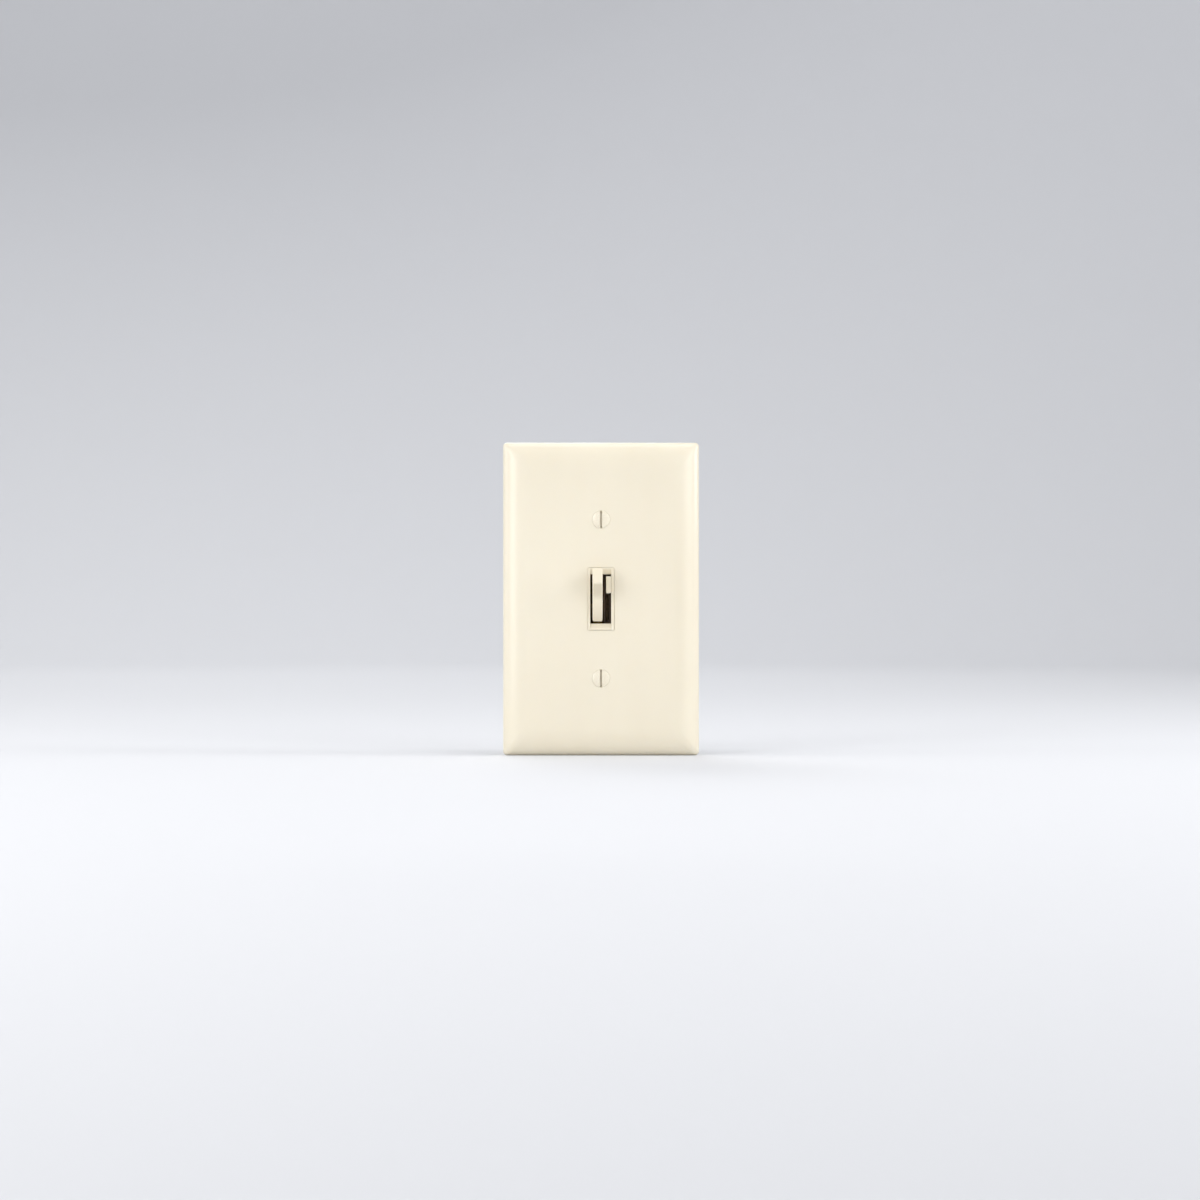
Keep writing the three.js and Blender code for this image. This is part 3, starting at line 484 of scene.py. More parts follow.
def rolled_brass():
    """Half-hard brass strip and turned brass screws: warm, lightly tarnished, with drawing lines."""
    material, tree, shader, at = finish("half_hard_brass", "#CFA656", 0.3, 1.0)
    tarnish = noise(tree, at, 2.4, 4.0)
    lines = noise(tree, at, 0.15, 2.0, stretch=(1, 30, 1))
    mottle(tree, shader, tarnish, "#D6B062", "#A67E3B", 0.24, 0.46)
    dent(tree, shader, lines, 0.006, 0.6)
    return material


def silver_contact():
    """Silver-cadmium contact button, coined: pale, a little grey with tarnish in places."""
    material, tree, shader, at = finish("coined_silver", "#E3E3E0", 0.22, 1.0)
    haze = noise(tree, at, 0.6, 3.0)
    mottle(tree, shader, haze, "#E9E9E6", "#B9B8B2", 0.16, 0.36)
    return material


def natural_nylon():
    """Unpigmented nylon: milky, waxy, light sinking in under a satin skin."""
    material, tree, shader, at = finish(
        "natural_nylon", "#EFECE1", 0.42, subsurface_weight=0.3,
        subsurface_radius=(1.2, 1.0, 0.8), subsurface_scale=1.2 * MM,
    )
    cloud = noise(tree, at, 2, 2.0)
    mottle(tree, shader, cloud, "#F1EEE4", "#E3DFCF", 0.36, 0.5)
    return material


def pressed_fibre(name, colour, flecked, size, roughness):
    """Vulcanised fibre or pressed card: matted fibres, flecks of two tones, no gloss at all."""
    material, tree, shader, at = finish(name, colour, roughness)
    mat_one = noise(tree, at, size, 4.0, 0.65, stretch=(4, 1, 1))
    mat_two = noise(tree, at, size, 4.0, 0.65, stretch=(1, 1, 4))
    both = add(tree, "ShaderNodeMath", {0: mat_one, 1: mat_two}, operation="MULTIPLY").outputs[0]
    mottle(tree, shader, both, colour, flecked, roughness - 0.06, roughness + 0.04, 0.15, 0.38)
    dent(tree, shader, both, 0.05, 0.7)
    return material


def paper_laminate():
    """Phenolic paper laminate: brown resin over a faint crossed paper grain, satin."""
    material, tree, shader, at = finish("phenolic_laminate", "#A67F45", 0.45)
    warp = noise(tree, at, 0.5, 3.0, stretch=(8, 1, 1))
    weft = noise(tree, at, 0.5, 3.0, stretch=(1, 1, 8))
    both = add(tree, "ShaderNodeMath", {0: warp, 1: weft}, operation="ADD").outputs[0]
    mottle(tree, shader, both, "#B18A4E", "#8C6834", 0.38, 0.55, 0.8, 1.2)
    dent(tree, shader, both, 0.012, 0.5)
    return material


def green_zinc():
    """Green-dyed plating on the earth screw: a thin coloured film over metal, rubbed in places."""
    material, tree, shader, at = finish("green_dyed_plating", "#2E8B4C", 0.34, 0.75)
    rub = noise(tree, at, 1.1, 4.0)
    wire_up(
        tree, shader,
        base_color=tint(tree, between(tree, rub, 0, 1, 0.35, 0.75), "#2A8A49", "#56A873"),
        roughness=between(tree, rub, 0.26, 0.46),
    )
    return material


def dipped_case(name, colour, deeper, roughness):
    """Dipped or potted resin on a component: glossy, slightly wavy, deeper where it ran thick."""
    material, tree, shader, at = finish(
        name, colour, roughness, coat_weight=0.35, coat_roughness=0.12
    )
    run = noise(tree, at, 2.2, 2.0)
    mottle(tree, shader, run, colour, deeper, roughness - 0.05, roughness + 0.08)
    dent(tree, shader, run, 0.06, 0.5)
    return material


def moulded_epoxy():
    """Transfer-moulded black epoxy: a fine sandy matt."""
    material, tree, shader, at = finish("transfer_moulded_epoxy", "#242527", 0.62)
    sand = noise(tree, at, 0.18, 2.0)
    mottle(tree, shader, sand, "#222325", "#333437", 0.55, 0.7)
    dent(tree, shader, sand, 0.015, 0.6)
    return material


def enamelled_copper():
    """Enamelled copper wire: a dark amber lacquer over drawn copper."""
    material, tree, shader, at = finish(
        "enamelled_copper", "#B0602C", 0.26, 1.0, coat_weight=0.8, coat_roughness=0.1
    )
    drawn = noise(tree, at, 0.8, 3.0)
    mottle(tree, shader, drawn, "#B9682F", "#8C4419", 0.2, 0.34)
    return material


def banded_lacquer(name, node, ground, bands):
    """Lacquered component body with painted rings, spaced along its length."""
    material, tree, shader, at = finish(name, ground, 0.32)
    low, high = box(node)
    lead_out = 1.6
    half_ring = 0.28 * MM
    start, length = low.z + lead_out, high.z - low.z - 2 * lead_out
    height = add(tree, "ShaderNodeSeparateXYZ", {"Vector": at}).outputs["Z"]
    colour = None
    for i, band in enumerate(bands):
        centre = (start + length * (0.2 + 0.6 * i / max(1, len(bands) - 1))) * MM
        inside = add(tree, "ShaderNodeMath", {0: height, 1: centre}, operation="SUBTRACT")
        off = add(tree, "ShaderNodeMath", {0: inside.outputs[0]}, operation="ABSOLUTE")
        ring = add(tree, "ShaderNodeMath", {0: off.outputs[0], 1: half_ring}, operation="LESS_THAN")
        mix = add(tree, "ShaderNodeMix", {"Factor": ring.outputs[0]}, data_type="RGBA")
        if colour is None:
            mix.inputs[6].default_value = linear(ground)
        else:
            tree.links.new(colour, mix.inputs[6])
        mix.inputs[7].default_value = linear(band)
        colour = mix.outputs[2]
    wire_up(tree, shader, base_color=colour)
    dent(tree, shader, noise(tree, at, 0.8, 2.0), 0.02, 0.5)
    return material


def studio_paper():
    """Seamless background paper: flat, pale, with the faintest tooth."""
    material, tree, shader, at = finish("background_paper", "#D6D7DA", 0.85)
    tooth = noise(tree, at, 3, 3.0)
    dent(tree, shader, tooth, 0.05, 0.2)
    return material


def make_finishes():
    return {
        "plate_ivory": moulded_ivory("moulded_ivory_plate", "#E1D9C5", "#DDD4BF", 0.29, 0.008),
        "control_ivory": moulded_ivory("moulded_ivory_controls", "#E1D8C3", "#DCD2BB", 0.29, 0.006),
        "screw_ivory": enamelled_head(),
        "strap_aluminium": rolled_aluminium(),
        "zinc_steel": zinc_plate("bright_zinc_steel", "#C4C5C4", "#A9ADB2"),
        "earth_green": green_zinc(),
        "housing_black": glass_filled_black(),
        # the guide's dark brown is painted shade for the slide's channel
        "guide_brown": brown_phenolic(),
        "brass_strip": rolled_brass(),
        "contact_silver": silver_contact(),
        "nylon_white": natural_nylon(),
        "fish_paper": pressed_fibre("vulcanised_fibre", "#8B9087", "#70756C", 0.35, 0.82),
        "retainer_card": pressed_fibre("pressed_card", "#B07B4C", "#8C5C36", 0.4, 0.88),
        "board_laminate": paper_laminate(),
        "epoxy_black": moulded_epoxy(),
        "film_red": dipped_case("dipped_film_red", "#A8301F", "#8A2114", 0.28),
        "core_yellow": dipped_case("painted_core_yellow", "#D9BC45", "#C5A32F", 0.4),
        "copper_wire": enamelled_copper(),
    }


FINISHES = make_finishes()


def piece(obj, node):
    """Gives a finished object the finish of its slot, unless it has one of its own, and lets it
    stand for the CAD piece and ride its body."""
    if not obj.data.materials:
        obj.data.materials.append(FINISHES[SLOT_OF[node]])
    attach(obj, BODY_OF[node])
    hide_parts(node)
    return obj


def eased_copy(node, name, width, segments=2, degrees=32, smooth=30, own_finish=None):
    """Puts a copy of a CAD piece, with its sharp edges broken, in the piece's place."""
    copy = copy_of(node, name)
    ease_edges(copy, width, segments, degrees)
    if own_finish:
        copy.data.materials.append(own_finish)
    return piece(shade(copy, smooth), node)


# ------------------------------------------------------------------ geometry node trees


def geometry_tree(name, inputs):
    """An empty tree with a geometry in and out, and named inputs of (kind, value)."""
    tree = bpy.data.node_groups.new(name, "GeometryNodeTree")
    tree.interface.new_socket("Geometry", in_out="INPUT", socket_type="NodeSocketGeometry")
    for label, (kind, value) in inputs.items():
        socket = tree.interface.new_socket(label, in_out="INPUT", socket_type=kind)
        if value is not None:
            socket.default_value = value
    tree.interface.new_socket("Geometry", in_out="OUTPUT", socket_type="NodeSocketGeometry")
    return tree, tree.nodes.new("NodeGroupInput").outputs, tree.nodes.new("NodeGroupOutput").inputs


def close_tree(tree, shape, material, out):
    """Ends a tree in Realize Instances and Set Material."""
    real = add(tree, "GeometryNodeRealizeInstances", {"Geometry": shape})
    done = add(tree, "GeometryNodeSetMaterial", {
        "Geometry": real.outputs["Geometry"], "Material": material,
    })
    tree.links.new(done.outputs["Geometry"], out["Geometry"])


def run_tree(obj, tree, **values):
    """Runs a tree on an object with its inputs given by name, and keeps the plain mesh."""
    modifier = obj.modifiers.new(tree.name, "NODES")
    modifier.node_group = tree
    for item in tree.interface.items_tree:
        key = item.name.replace(" ", "_").lower()
        if item.in_out == "INPUT" and key in values:
            modifier[item.identifier] = values[key]
    return settle(obj)


def thread_tree():
    """Sinks a helical groove into a turned shank along Z, between Start and End."""
    tree, given, out = geometry_tree("cut_thread", {
        "Pitch": ("NodeSocketFloat", THREAD_PITCH * MM),
        "Depth": ("NodeSocketFloat", 0.4 * MM),
        "Start": ("NodeSocketFloat", 0.0),
        "End": ("NodeSocketFloat", 0.01),
        "Material": ("NodeSocketMaterial", None),
    })

    def sums(how, a, b=0.0, c=0.0):
        return add(tree, "ShaderNodeMath", {0: a, 1: b, 2: c}, operation=how).outputs[0]

    where = add(tree, "GeometryNodeInputPosition").outputs["Position"]
    x, y, z = add(tree, "ShaderNodeSeparateXYZ", {"Vector": where}).outputs
    turn = sums("DIVIDE", sums("ARCTAN2", y, x), 2 * math.pi)
    phase = sums("FRACT", sums("SUBTRACT", sums("DIVIDE", z, given["Pitch"]), turn))
    off_centre = sums("ABSOLUTE", sums("SUBTRACT", sums("MULTIPLY", phase, 2.0), 1.0))
    groove = sums("MULTIPLY", sums("SUBTRACT", 1.0, off_centre), given["Depth"])
    in_start = sums("GREATER_THAN", z, given["Start"])
    in_end = sums("LESS_THAN", z, given["End"])
    sink = sums("MULTIPLY", groove, sums("MULTIPLY", in_start, in_end))
    flat = add(tree, "ShaderNodeCombineXYZ", {"X": x, "Y": y}).outputs["Vector"]
    outward = add(tree, "ShaderNodeVectorMath", {0: flat}, operation="NORMALIZE").outputs["Vector"]
    inward = add(tree, "ShaderNodeVectorMath", {
        0: outward, "Scale": sums("MULTIPLY", sink, -1.0),
    }, operation="SCALE").outputs["Vector"]
    moved = add(tree, "GeometryNodeSetPosition", {"Geometry": given["Geometry"], "Offset": inward})
    close_tree(tree, moved.outputs["Geometry"], given["Material"], out)
    return tree


def winding_tree():
    """Turns of round wire side by side round a ring that lies in the XY plane."""
    tree, given, out = geometry_tree("wind_ring", {
        "Turns": ("NodeSocketInt", 40),
        "Ring Radius": ("NodeSocketFloat", 0.0055),
        "Start Angle": ("NodeSocketFloat", 0.0),
        "Sweep": ("NodeSocketFloat", 5.0),
        "Radial": ("NodeSocketFloat", 0.004),
        "Axial": ("NodeSocketFloat", 0.007),
        "Wire Radius": ("NodeSocketFloat", 0.0004),
        "Material": ("NodeSocketMaterial", None),
    })
    around = add(tree, "GeometryNodeCurveArc", {
        "Resolution": 96, "Radius": given["Ring Radius"],
        "Start Angle": given["Start Angle"], "Sweep Angle": given["Sweep"],
    }, mode="RADIUS")
    spots = add(tree, "GeometryNodeCurveToPoints", {
        "Curve": around.outputs["Curve"], "Count": given["Turns"],
    }, mode="COUNT")
    loop = add(tree, "GeometryNodeCurvePrimitiveQuadrilateral", {
        "Width": given["Radial"], "Height": given["Axial"],
    }, mode="RECTANGLE")
    soft = add(tree, "GeometryNodeFilletCurve", {
        "Curve": loop.outputs["Curve"], "Radius": 1.1 * MM, "Count": 4,
    }, mode="POLY")
    section = add(tree, "GeometryNodeCurvePrimitiveCircle", {
        "Resolution": 8, "Radius": given["Wire Radius"],
    }, mode="RADIUS")
    turn = add(tree, "GeometryNodeCurveToMesh", {
        "Curve": soft.outputs["Curve"], "Profile Curve": section.outputs["Curve"],
    })
    placed = add(tree, "GeometryNodeInstanceOnPoints", {
        "Points": spots.outputs["Points"], "Instance": turn.outputs["Mesh"],
        "Rotation": spots.outputs["Rotation"],
    })
    smooth = add(tree, "GeometryNodeSetShadeSmooth", {"Geometry": placed.outputs["Instances"]})
    close_tree(tree, smooth.outputs["Geometry"], given["Material"], out)
    return tree


def spring_tree():
    """A coil spring of round wire, standing on the XY plane."""
    tree, given, out = geometry_tree("coil_spring", {
        "Turns": ("NodeSocketFloat", 5.0),
        "Radius": ("NodeSocketFloat", 0.8 * MM),
        "Length": ("NodeSocketFloat", 2.4 * MM),
        "Wire Radius": ("NodeSocketFloat", 0.17 * MM),
        "Material": ("NodeSocketMaterial", None),
    })
    path = add(tree, "GeometryNodeCurveSpiral", {
        "Resolution": 28, "Rotations": given["Turns"], "Start Radius": given["Radius"],
        "End Radius": given["Radius"], "Height": given["Length"],
    })
    section = add(tree, "GeometryNodeCurvePrimitiveCircle", {
        "Resolution": 10, "Radius": given["Wire Radius"],
    }, mode="RADIUS")
    coil = add(tree, "GeometryNodeCurveToMesh", {
        "Curve": path.outputs["Curve"], "Profile Curve": section.outputs["Curve"],
        "Fill Caps": True,
    })
    smooth = add(tree, "GeometryNodeSetShadeSmooth", {"Geometry": coil.outputs["Mesh"]})
    close_tree(tree, smooth.outputs["Geometry"], given["Material"], out)
    return tree


# ------------------------------------------------------------------ wall plate and its screws


def upright_ring(half_x, half_z, radius, y, steps=8):
    """Points round an upright rectangle with round corners, at depth y."""
    ring = []
    for quarter, (sx, sz) in enumerate(((1, 1), (-1, 1), (-1, -1), (1, -1))):
        centre = (sx * (half_x - radius), sz * (half_z - radius))
        for x, z in arc(centre, radius, quarter * 90, quarter * 90 + 90, steps):
            ring.append(Vector((x, y, z)))
    return ring


def cushion(name, half_x, half_z, depth, border, rim, corner, back):
    """The plate's form: a straight rim, then a border that rolls over to a flat face."""
    steps = 28
    rings = [upright_ring(half_x, half_z, corner, back)]
    for i in range(steps + 1):
        a = i / steps * math.pi / 2
        inset = border * (1 - math.cos(a))
        radius = corner + 0.8 * math.sin(a)
        y = -(rim + (depth - rim) * math.sin(a))
        rings.append(upright_ring(half_x - inset, half_z - inset, radius, y))
    return loft(name, rings)


def stud(name, profile, at, sides=48):
    """A turned solid laid along Y: heights in the profile are distances along +Y."""
    obj = turned(name, profile, sides)
    return place(obj, Matrix.Translation(Vector(at) * MM) @ ONTO_Y)


def make_wall_plate():
    low, high = box("wall_plate")
    half_x, half_z, depth = (high.x - low.x) / 2, (high.z - low.z) / 2, -low.y
    wall = 2.0
    inside = depth - wall
    plate = cushion("wall_plate_moulding", half_x, half_z, depth,
                    border=9.6, rim=1.6, corner=1.5, back=0)
    hollow = cushion("hollow", half_x - wall, half_z - wall, inside,
                     border=8.0, rim=1.2, corner=1.0, back=1)
    combine(plate, [hollow], "DIFFERENCE")
    screw_z = middle("plate_screw_upper").z
    pads, cuts = [], []
    strap_front = box("yoke")[0].y
    for side in (1, -1):
        at = (0, 0, side * screw_z)
        pads.append(stud("pad", [(0, -inside - 0.1), (4.2, -inside - 0.1),
                                 (4.2, strap_front - 0.35), (4.05, strap_front - 0.2),
                                 (0, strap_front - 0.2)], at))
        z = side * screw_z
        pads.append(block("rib", (-34.4, 34.4), (-inside - 0.1, -inside + 0.9), (z - 0.5, z + 0.5)))
        sink = [(0, -1), (1.95, -1), (1.95, -4.55), (3.41, -6.26), (3.44, -6.36), (3.5, -6.41),
                (4.2, -6.6), (4.2, -7.5), (0, -7.5)]
        cuts.append(stud("countersink", sink, at, 64))
    combine(plate, pads, "UNION")
    opening_x, opening_z, corner, flare = 5.02, 11.87, 0.6, 0.12
    rings = [
        upright_ring(opening_x + grow, opening_z + grow, corner + grow, y, 5)
        for grow, y in ((0, 1), (0, -depth + flare), (flare * 0.3, -depth + flare * 0.3),
                        (flare, -depth), (flare * 2, -depth - flare))
    ]
    cuts.append(loft("opening", rings))
    # shallow witness rings of the ejector pins, on the hidden side
    for x in (-24, 24):
        for z in (-46, -16, 16, 46):
            cuts.append(stud("witness", [(0, -inside - 0.12), (2.4, -inside - 0.12),
                                         (2.4, -inside + 0.5), (0, -inside + 0.5)], (x, 0, z), 32))
    combine(plate, cuts, "DIFFERENCE")
    piece(shade(plate, 28), "wall_plate")


def slot_cutter(width, depth_from, depth_to):
    """A screwdriver slot's block, longer across X than any screw head."""
    return block("slot", (-6, 6), (-width / 2, width / 2), (depth_from, depth_to))


def screw_rows(start, end, pitch):
    """Heights along a threaded stretch, close enough to draw its groove."""
    rows_per_turn = 8
    count = max(2, round((end - start) / pitch * rows_per_turn))
    return [start + (end - start) * i / count for i in range(count + 1)]


def machine_screw(name, node, head, shank, seat, tip, lay, slot, thread_from, sides=40,
                  pitch=THREAD_PITCH, depth=0.38):
    """A screw drawn along its own Z, head first: head is the profile from the top down to the
    shank, then the shank runs from seat to tip with a thread cut from thread_from on."""
    rows = screw_rows(thread_from, tip - 0.7, pitch)
    profile = [*head, (shank, seat), (shank, thread_from - 0.05)]
    profile += [(shank, z) for z in rows]
    profile += [(shank * 0.72, tip - 0.15), (shank * 0.6, tip), (0, tip)]
    obj = turned(name, profile, sides)
    combine(obj, [slot], "DIFFERENCE")
    run_tree(
        obj, THREAD, pitch=pitch * MM, depth=depth * MM, start=(thread_from - 0.01) * MM,
        end=(tip - 0.5) * MM, material=FINISHES[SLOT_OF[node]],
    )
    place(obj, lay)
    return piece(shade(obj, 40), node)


def along_y(x, z):
    """Lays a screw's own Z along the device's +Y, at that place."""
    return Matrix.Translation(Vector((x, 0, z)) * MM) @ ONTO_Y


def make_plate_screws():
    for side in ("upper", "lower"):
        node = f"plate_screw_{side}"
        low, high = box(node)
        dome = [(0, low.y)]
        for i in range(1, 9):
            a = i / 8
            dome.append((3.3 * a, low.y + 0.52 * a * a * (0.6 + 0.4 * a)))
        head = [*dome, (3.38, -6.36), (3.36, -6.27), (1.7, -4.6)]
        slot = slot_cutter(0.8, low.y - 1, -5.6)
        slot.data.transform(Matrix.Rotation(QUARTER_TURN, 4, "Z"))
        machine_screw(
            f"oval_head_screw_{side}", node, head, 1.62, -4.4, high.y,
            along_y(0, middle(node).z), slot, -3.6, sides=56,
        )


# ------------------------------------------------------------------ switch frame, toggle, slide


def make_bezel():
    eased_copy("bezel_frame", "switch_frame_moulding", 0.1, 2, 28)
    # the guide takes the dark brown finish that paints the shade in the slide's channel
    eased_copy("control_guide", "control_guide_moulding", 0.06, 1, 40)


def toggle_outline(inset):
    """The toggle's side outline as (forward, aside), every side pulled in by inset."""
    boss, lean, root = 11.0, 77.9, 3.6
    corner = (root * math.cos(math.radians(lean)), root * math.sin(math.radians(lean)))
    heel = [(-8.6, 0.9), (-8.6, 1.7), (-8.4, 2.1), (-8.0, 2.3), (-5.5, 2.55), (-3.0, 2.9), corner]
    rim = arc((0, 0), boss, lean, 33, 40)
    start, bend, end = Vector(rim[-1]), Vector((9.8, 4.6)), Vector((11.8, 4.15))
    fillet = [start * (1 - t) ** 2 + bend * (2 * t * (1 - t)) + end * t ** 2
              for t in (i / 14 for i in range(1, 15))]
    shank = [end + Vector((6.75, -0.65)) * i / 6 for i in range(1, 6)]
    tip = [*arc((18.6, 2.55), 0.9, 90, 12, 9), (19.5, 1.3)]
    half = [*heel, *rim, *fillet, *shank, *tip]
    closed = half + [(s, -t) for s, t in reversed(half)]
    moved = []
    for i, (s, t) in enumerate(closed):
        ahead, behind = Vector(closed[(i + 1) % len(closed)]), Vector(closed[i - 1])
        along = (ahead - behind).normalized()
        moved.append((s + along.y * inset, t - along.x * inset))
    # the round of the boss meets its flat end square, so its own points close up as it shrinks
    turn = math.degrees(math.asin(inset / (boss - inset)))
    inner = arc((0, 0), boss - inset, lean - turn, 33, 40)
    first = len(heel)
    moved[first:first + len(rim)] = inner
    mirrored = len(closed) - first - len(rim)
    moved[mirrored:mirrored + len(rim)] = [(s, -t) for s, t in reversed(inner)]
    return moved


def make_toggle():
    half_width, edge = 1.9, 0.55
    rings, stations = [], []
    for i in range(7):
        a = i / 6 * math.pi / 2
        stations.append((-(half_width - edge + edge * math.cos(a)), edge * (1 - math.sin(a))))
    stations += [(-x, inset) for x, inset in reversed(stations)]
    for x, inset in stations:
        rings.append([Vector((x, -s, t)) for s, t in toggle_outline(inset)])
    lever = loft("toggle_lever_moulding", rings)
    across = Matrix.Rotation(QUARTER_TURN, 4, "Y")
    bore = place(turned("bore", [(0, -4), (1.5, -4), (1.5, 4), (0, 4)], 40), across)
    pocket = stud("pocket", [(0, 4), (1.35, 4), (1.35, 9.6), (0, 9.6)], (0, 0, 0), 32)
    combine(lever, [bore, pocket], "DIFFERENCE")
    place(lever, lever_stance())
    piece(shade(lever, 30), "toggle_lever")


def lever_stance():
    """Carries the toggle, drawn with its pivot at the origin and its tip along -Y, to its rest."""
    tip_up = Matrix.Rotation(math.radians(-TOGGLE_TILT), 4, "X")
    return Matrix.Translation(TOGGLE_PIVOT * MM) @ tip_up


def make_snap_parts():
    stance = lever_stance()
    nose = [(0, 7.2), (0.95, 7.2), (1.05, 7.3)] + [
        (1.05 * math.cos(math.radians(a)), 10.75 + 1.05 * math.sin(math.radians(a)))
        for a in range(0, 91, 10)
    ]
    plunger = stud("snap_plunger_nylon", nose, (0, 0, 0), 32)
    piece(shade(place(plunger, stance)), "toggle_plunger")
    spring = linked(bpy.data.meshes.new("snap_spring_wire"))
    run_tree(spring, SPRING, turns=5.0, radius=0.8 * MM, length=2.2 * MM, wire_radius=0.17 * MM,
             material=FINISHES["zinc_steel"])
    stand = stance @ Matrix.Translation((0, 4.6 * MM, 0)) @ ONTO_Y
    piece(place(spring, stand), "plunger_spring")
    low, high = box("toggle_axle")
    length = high.x - low.x
    pin = [(0, 0), (1.0, 0), (1.2, 0.25), (1.2, length - 0.25), (1.0, length), (0, length)]
    axle = turned("toggle_axle_pin", pin, 40)
    start = Matrix.Translation((low.x * MM, TOGGLE_PIVOT.y * MM, 0))
    lie = start @ Matrix.Rotation(QUARTER_TURN, 4, "Y")
    piece(shade(place(axle, lie)), "toggle_axle")


def make_slide_knob():
    eased_copy("slider_knob", "dimming_slide_knob", 0.16, 3, 28)


# ------------------------------------------------------------------ strap and what holds it


def make_strap():
    eased_copy("yoke", "strap_blanking", 0.12, 2, 40)


def make_strap_screws():
    seat = box("device_screw_upper")[0].y
    for side in ("upper", "lower"):
        node = f"device_screw_{side}"
        low, high = box(node)
        head = pan_head(3.45, low.y, -1.7)
        cross = slot_cutter(0.9, seat - 1, seat + 0.9)
        machine_screw(f"device_screw_{side}_threaded", node, head, 1.65, -1.7, high.y,
                      along_y(0, middle(node).z), cross, -0.2)
        eased_copy(f"screw_retainer_{side}", f"retainer_card_{side}", 0.1, 2, 30)
    for number in range(1, 5):
        node = f"housing_screw_{number}"
        low, high = box(node)
        centre = middle(node)
        machine_screw(
            f"housing_screw_{number}_threaded", node, pan_head(2.78, low.y, -1.7), 1.2, -1.7,
            high.y, along_y(centre.x, centre.z), slot_cutter(0.8, low.y - 1, low.y + 0.75), 0.4,
            sides=32, pitch=1.0, depth=0.3,
        )


def pan_head(radius, top, seat):
    """The profile of a pan head from its crown to the shank."""
    tall = seat - top
    points = [(0, top), (radius * 0.45, top + 0.03 * tall)]
    for out, down in arc((0, 0), 1, -80, 0, 5):
        points.append((radius * (0.62 + 0.38 * out), top + tall * (0.62 + 0.58 * down)))
    points += [(radius, seat - 0.12), (radius - 0.1, seat)]
    return points


def make_earth_screw():
    centre = middle("ground_screw")
    top = box("ground_screw")[1].y
    hexagon = [(0, top), (2.6, top), (3.1, top - 0.25), (3.1, 0.75), (0, 0.75)]
    head = turned("green_earth_screw", hexagon, 6)
    rim = [(0, 0.95), (3.2, 0.95), (3.55, 0.7), (3.55, 0.2), (3.45, 0.1), (0, 0.1)]
    washer = turned("washer", rim, 48)
    rows = [(1.6, z) for z in screw_rows(-3.2, 0.2, THREAD_PITCH)]
    profile = [(0, -3.4), (1.2, -3.4), (1.6, -3.2), *rows[1:], (1.6, 0.4), (0, 0.4)]
    shank = turned("shank", profile, 40)
    run_tree(
        shank, THREAD, pitch=THREAD_PITCH * MM, depth=0.36 * MM, start=-3.15 * MM, end=0.0,
        material=FINISHES["earth_green"],
    )
    combine(head, [slot_cutter(0.9, top - 0.85, top + 1)], "DIFFERENCE")
    ease_edges(head, 0.08, 2, 50)
    combine(head, [washer, shank], "UNION")
    place(head, along_y(centre.x, centre.z))
    piece(shade(head, 35), "ground_screw")


# ------------------------------------------------------------------ rear housing


def housing_ring(inset, radius, y):
    """The housing's outline, with the corner left free for the earth screw, pulled in by inset."""
    high = box("rear_housing")[1]
    x, z = high.x - inset, high.z - inset
    notch_x, notch_z = -12.5 + inset, -27 + inset
    corners = [(x, z), (-x, z), (-x, notch_z), (notch_x, notch_z), (notch_x, -z), (x, -z)]
    outline = rounded(corners, radius)
    return [Vector((p.x, y, p.y)) for p in outline]


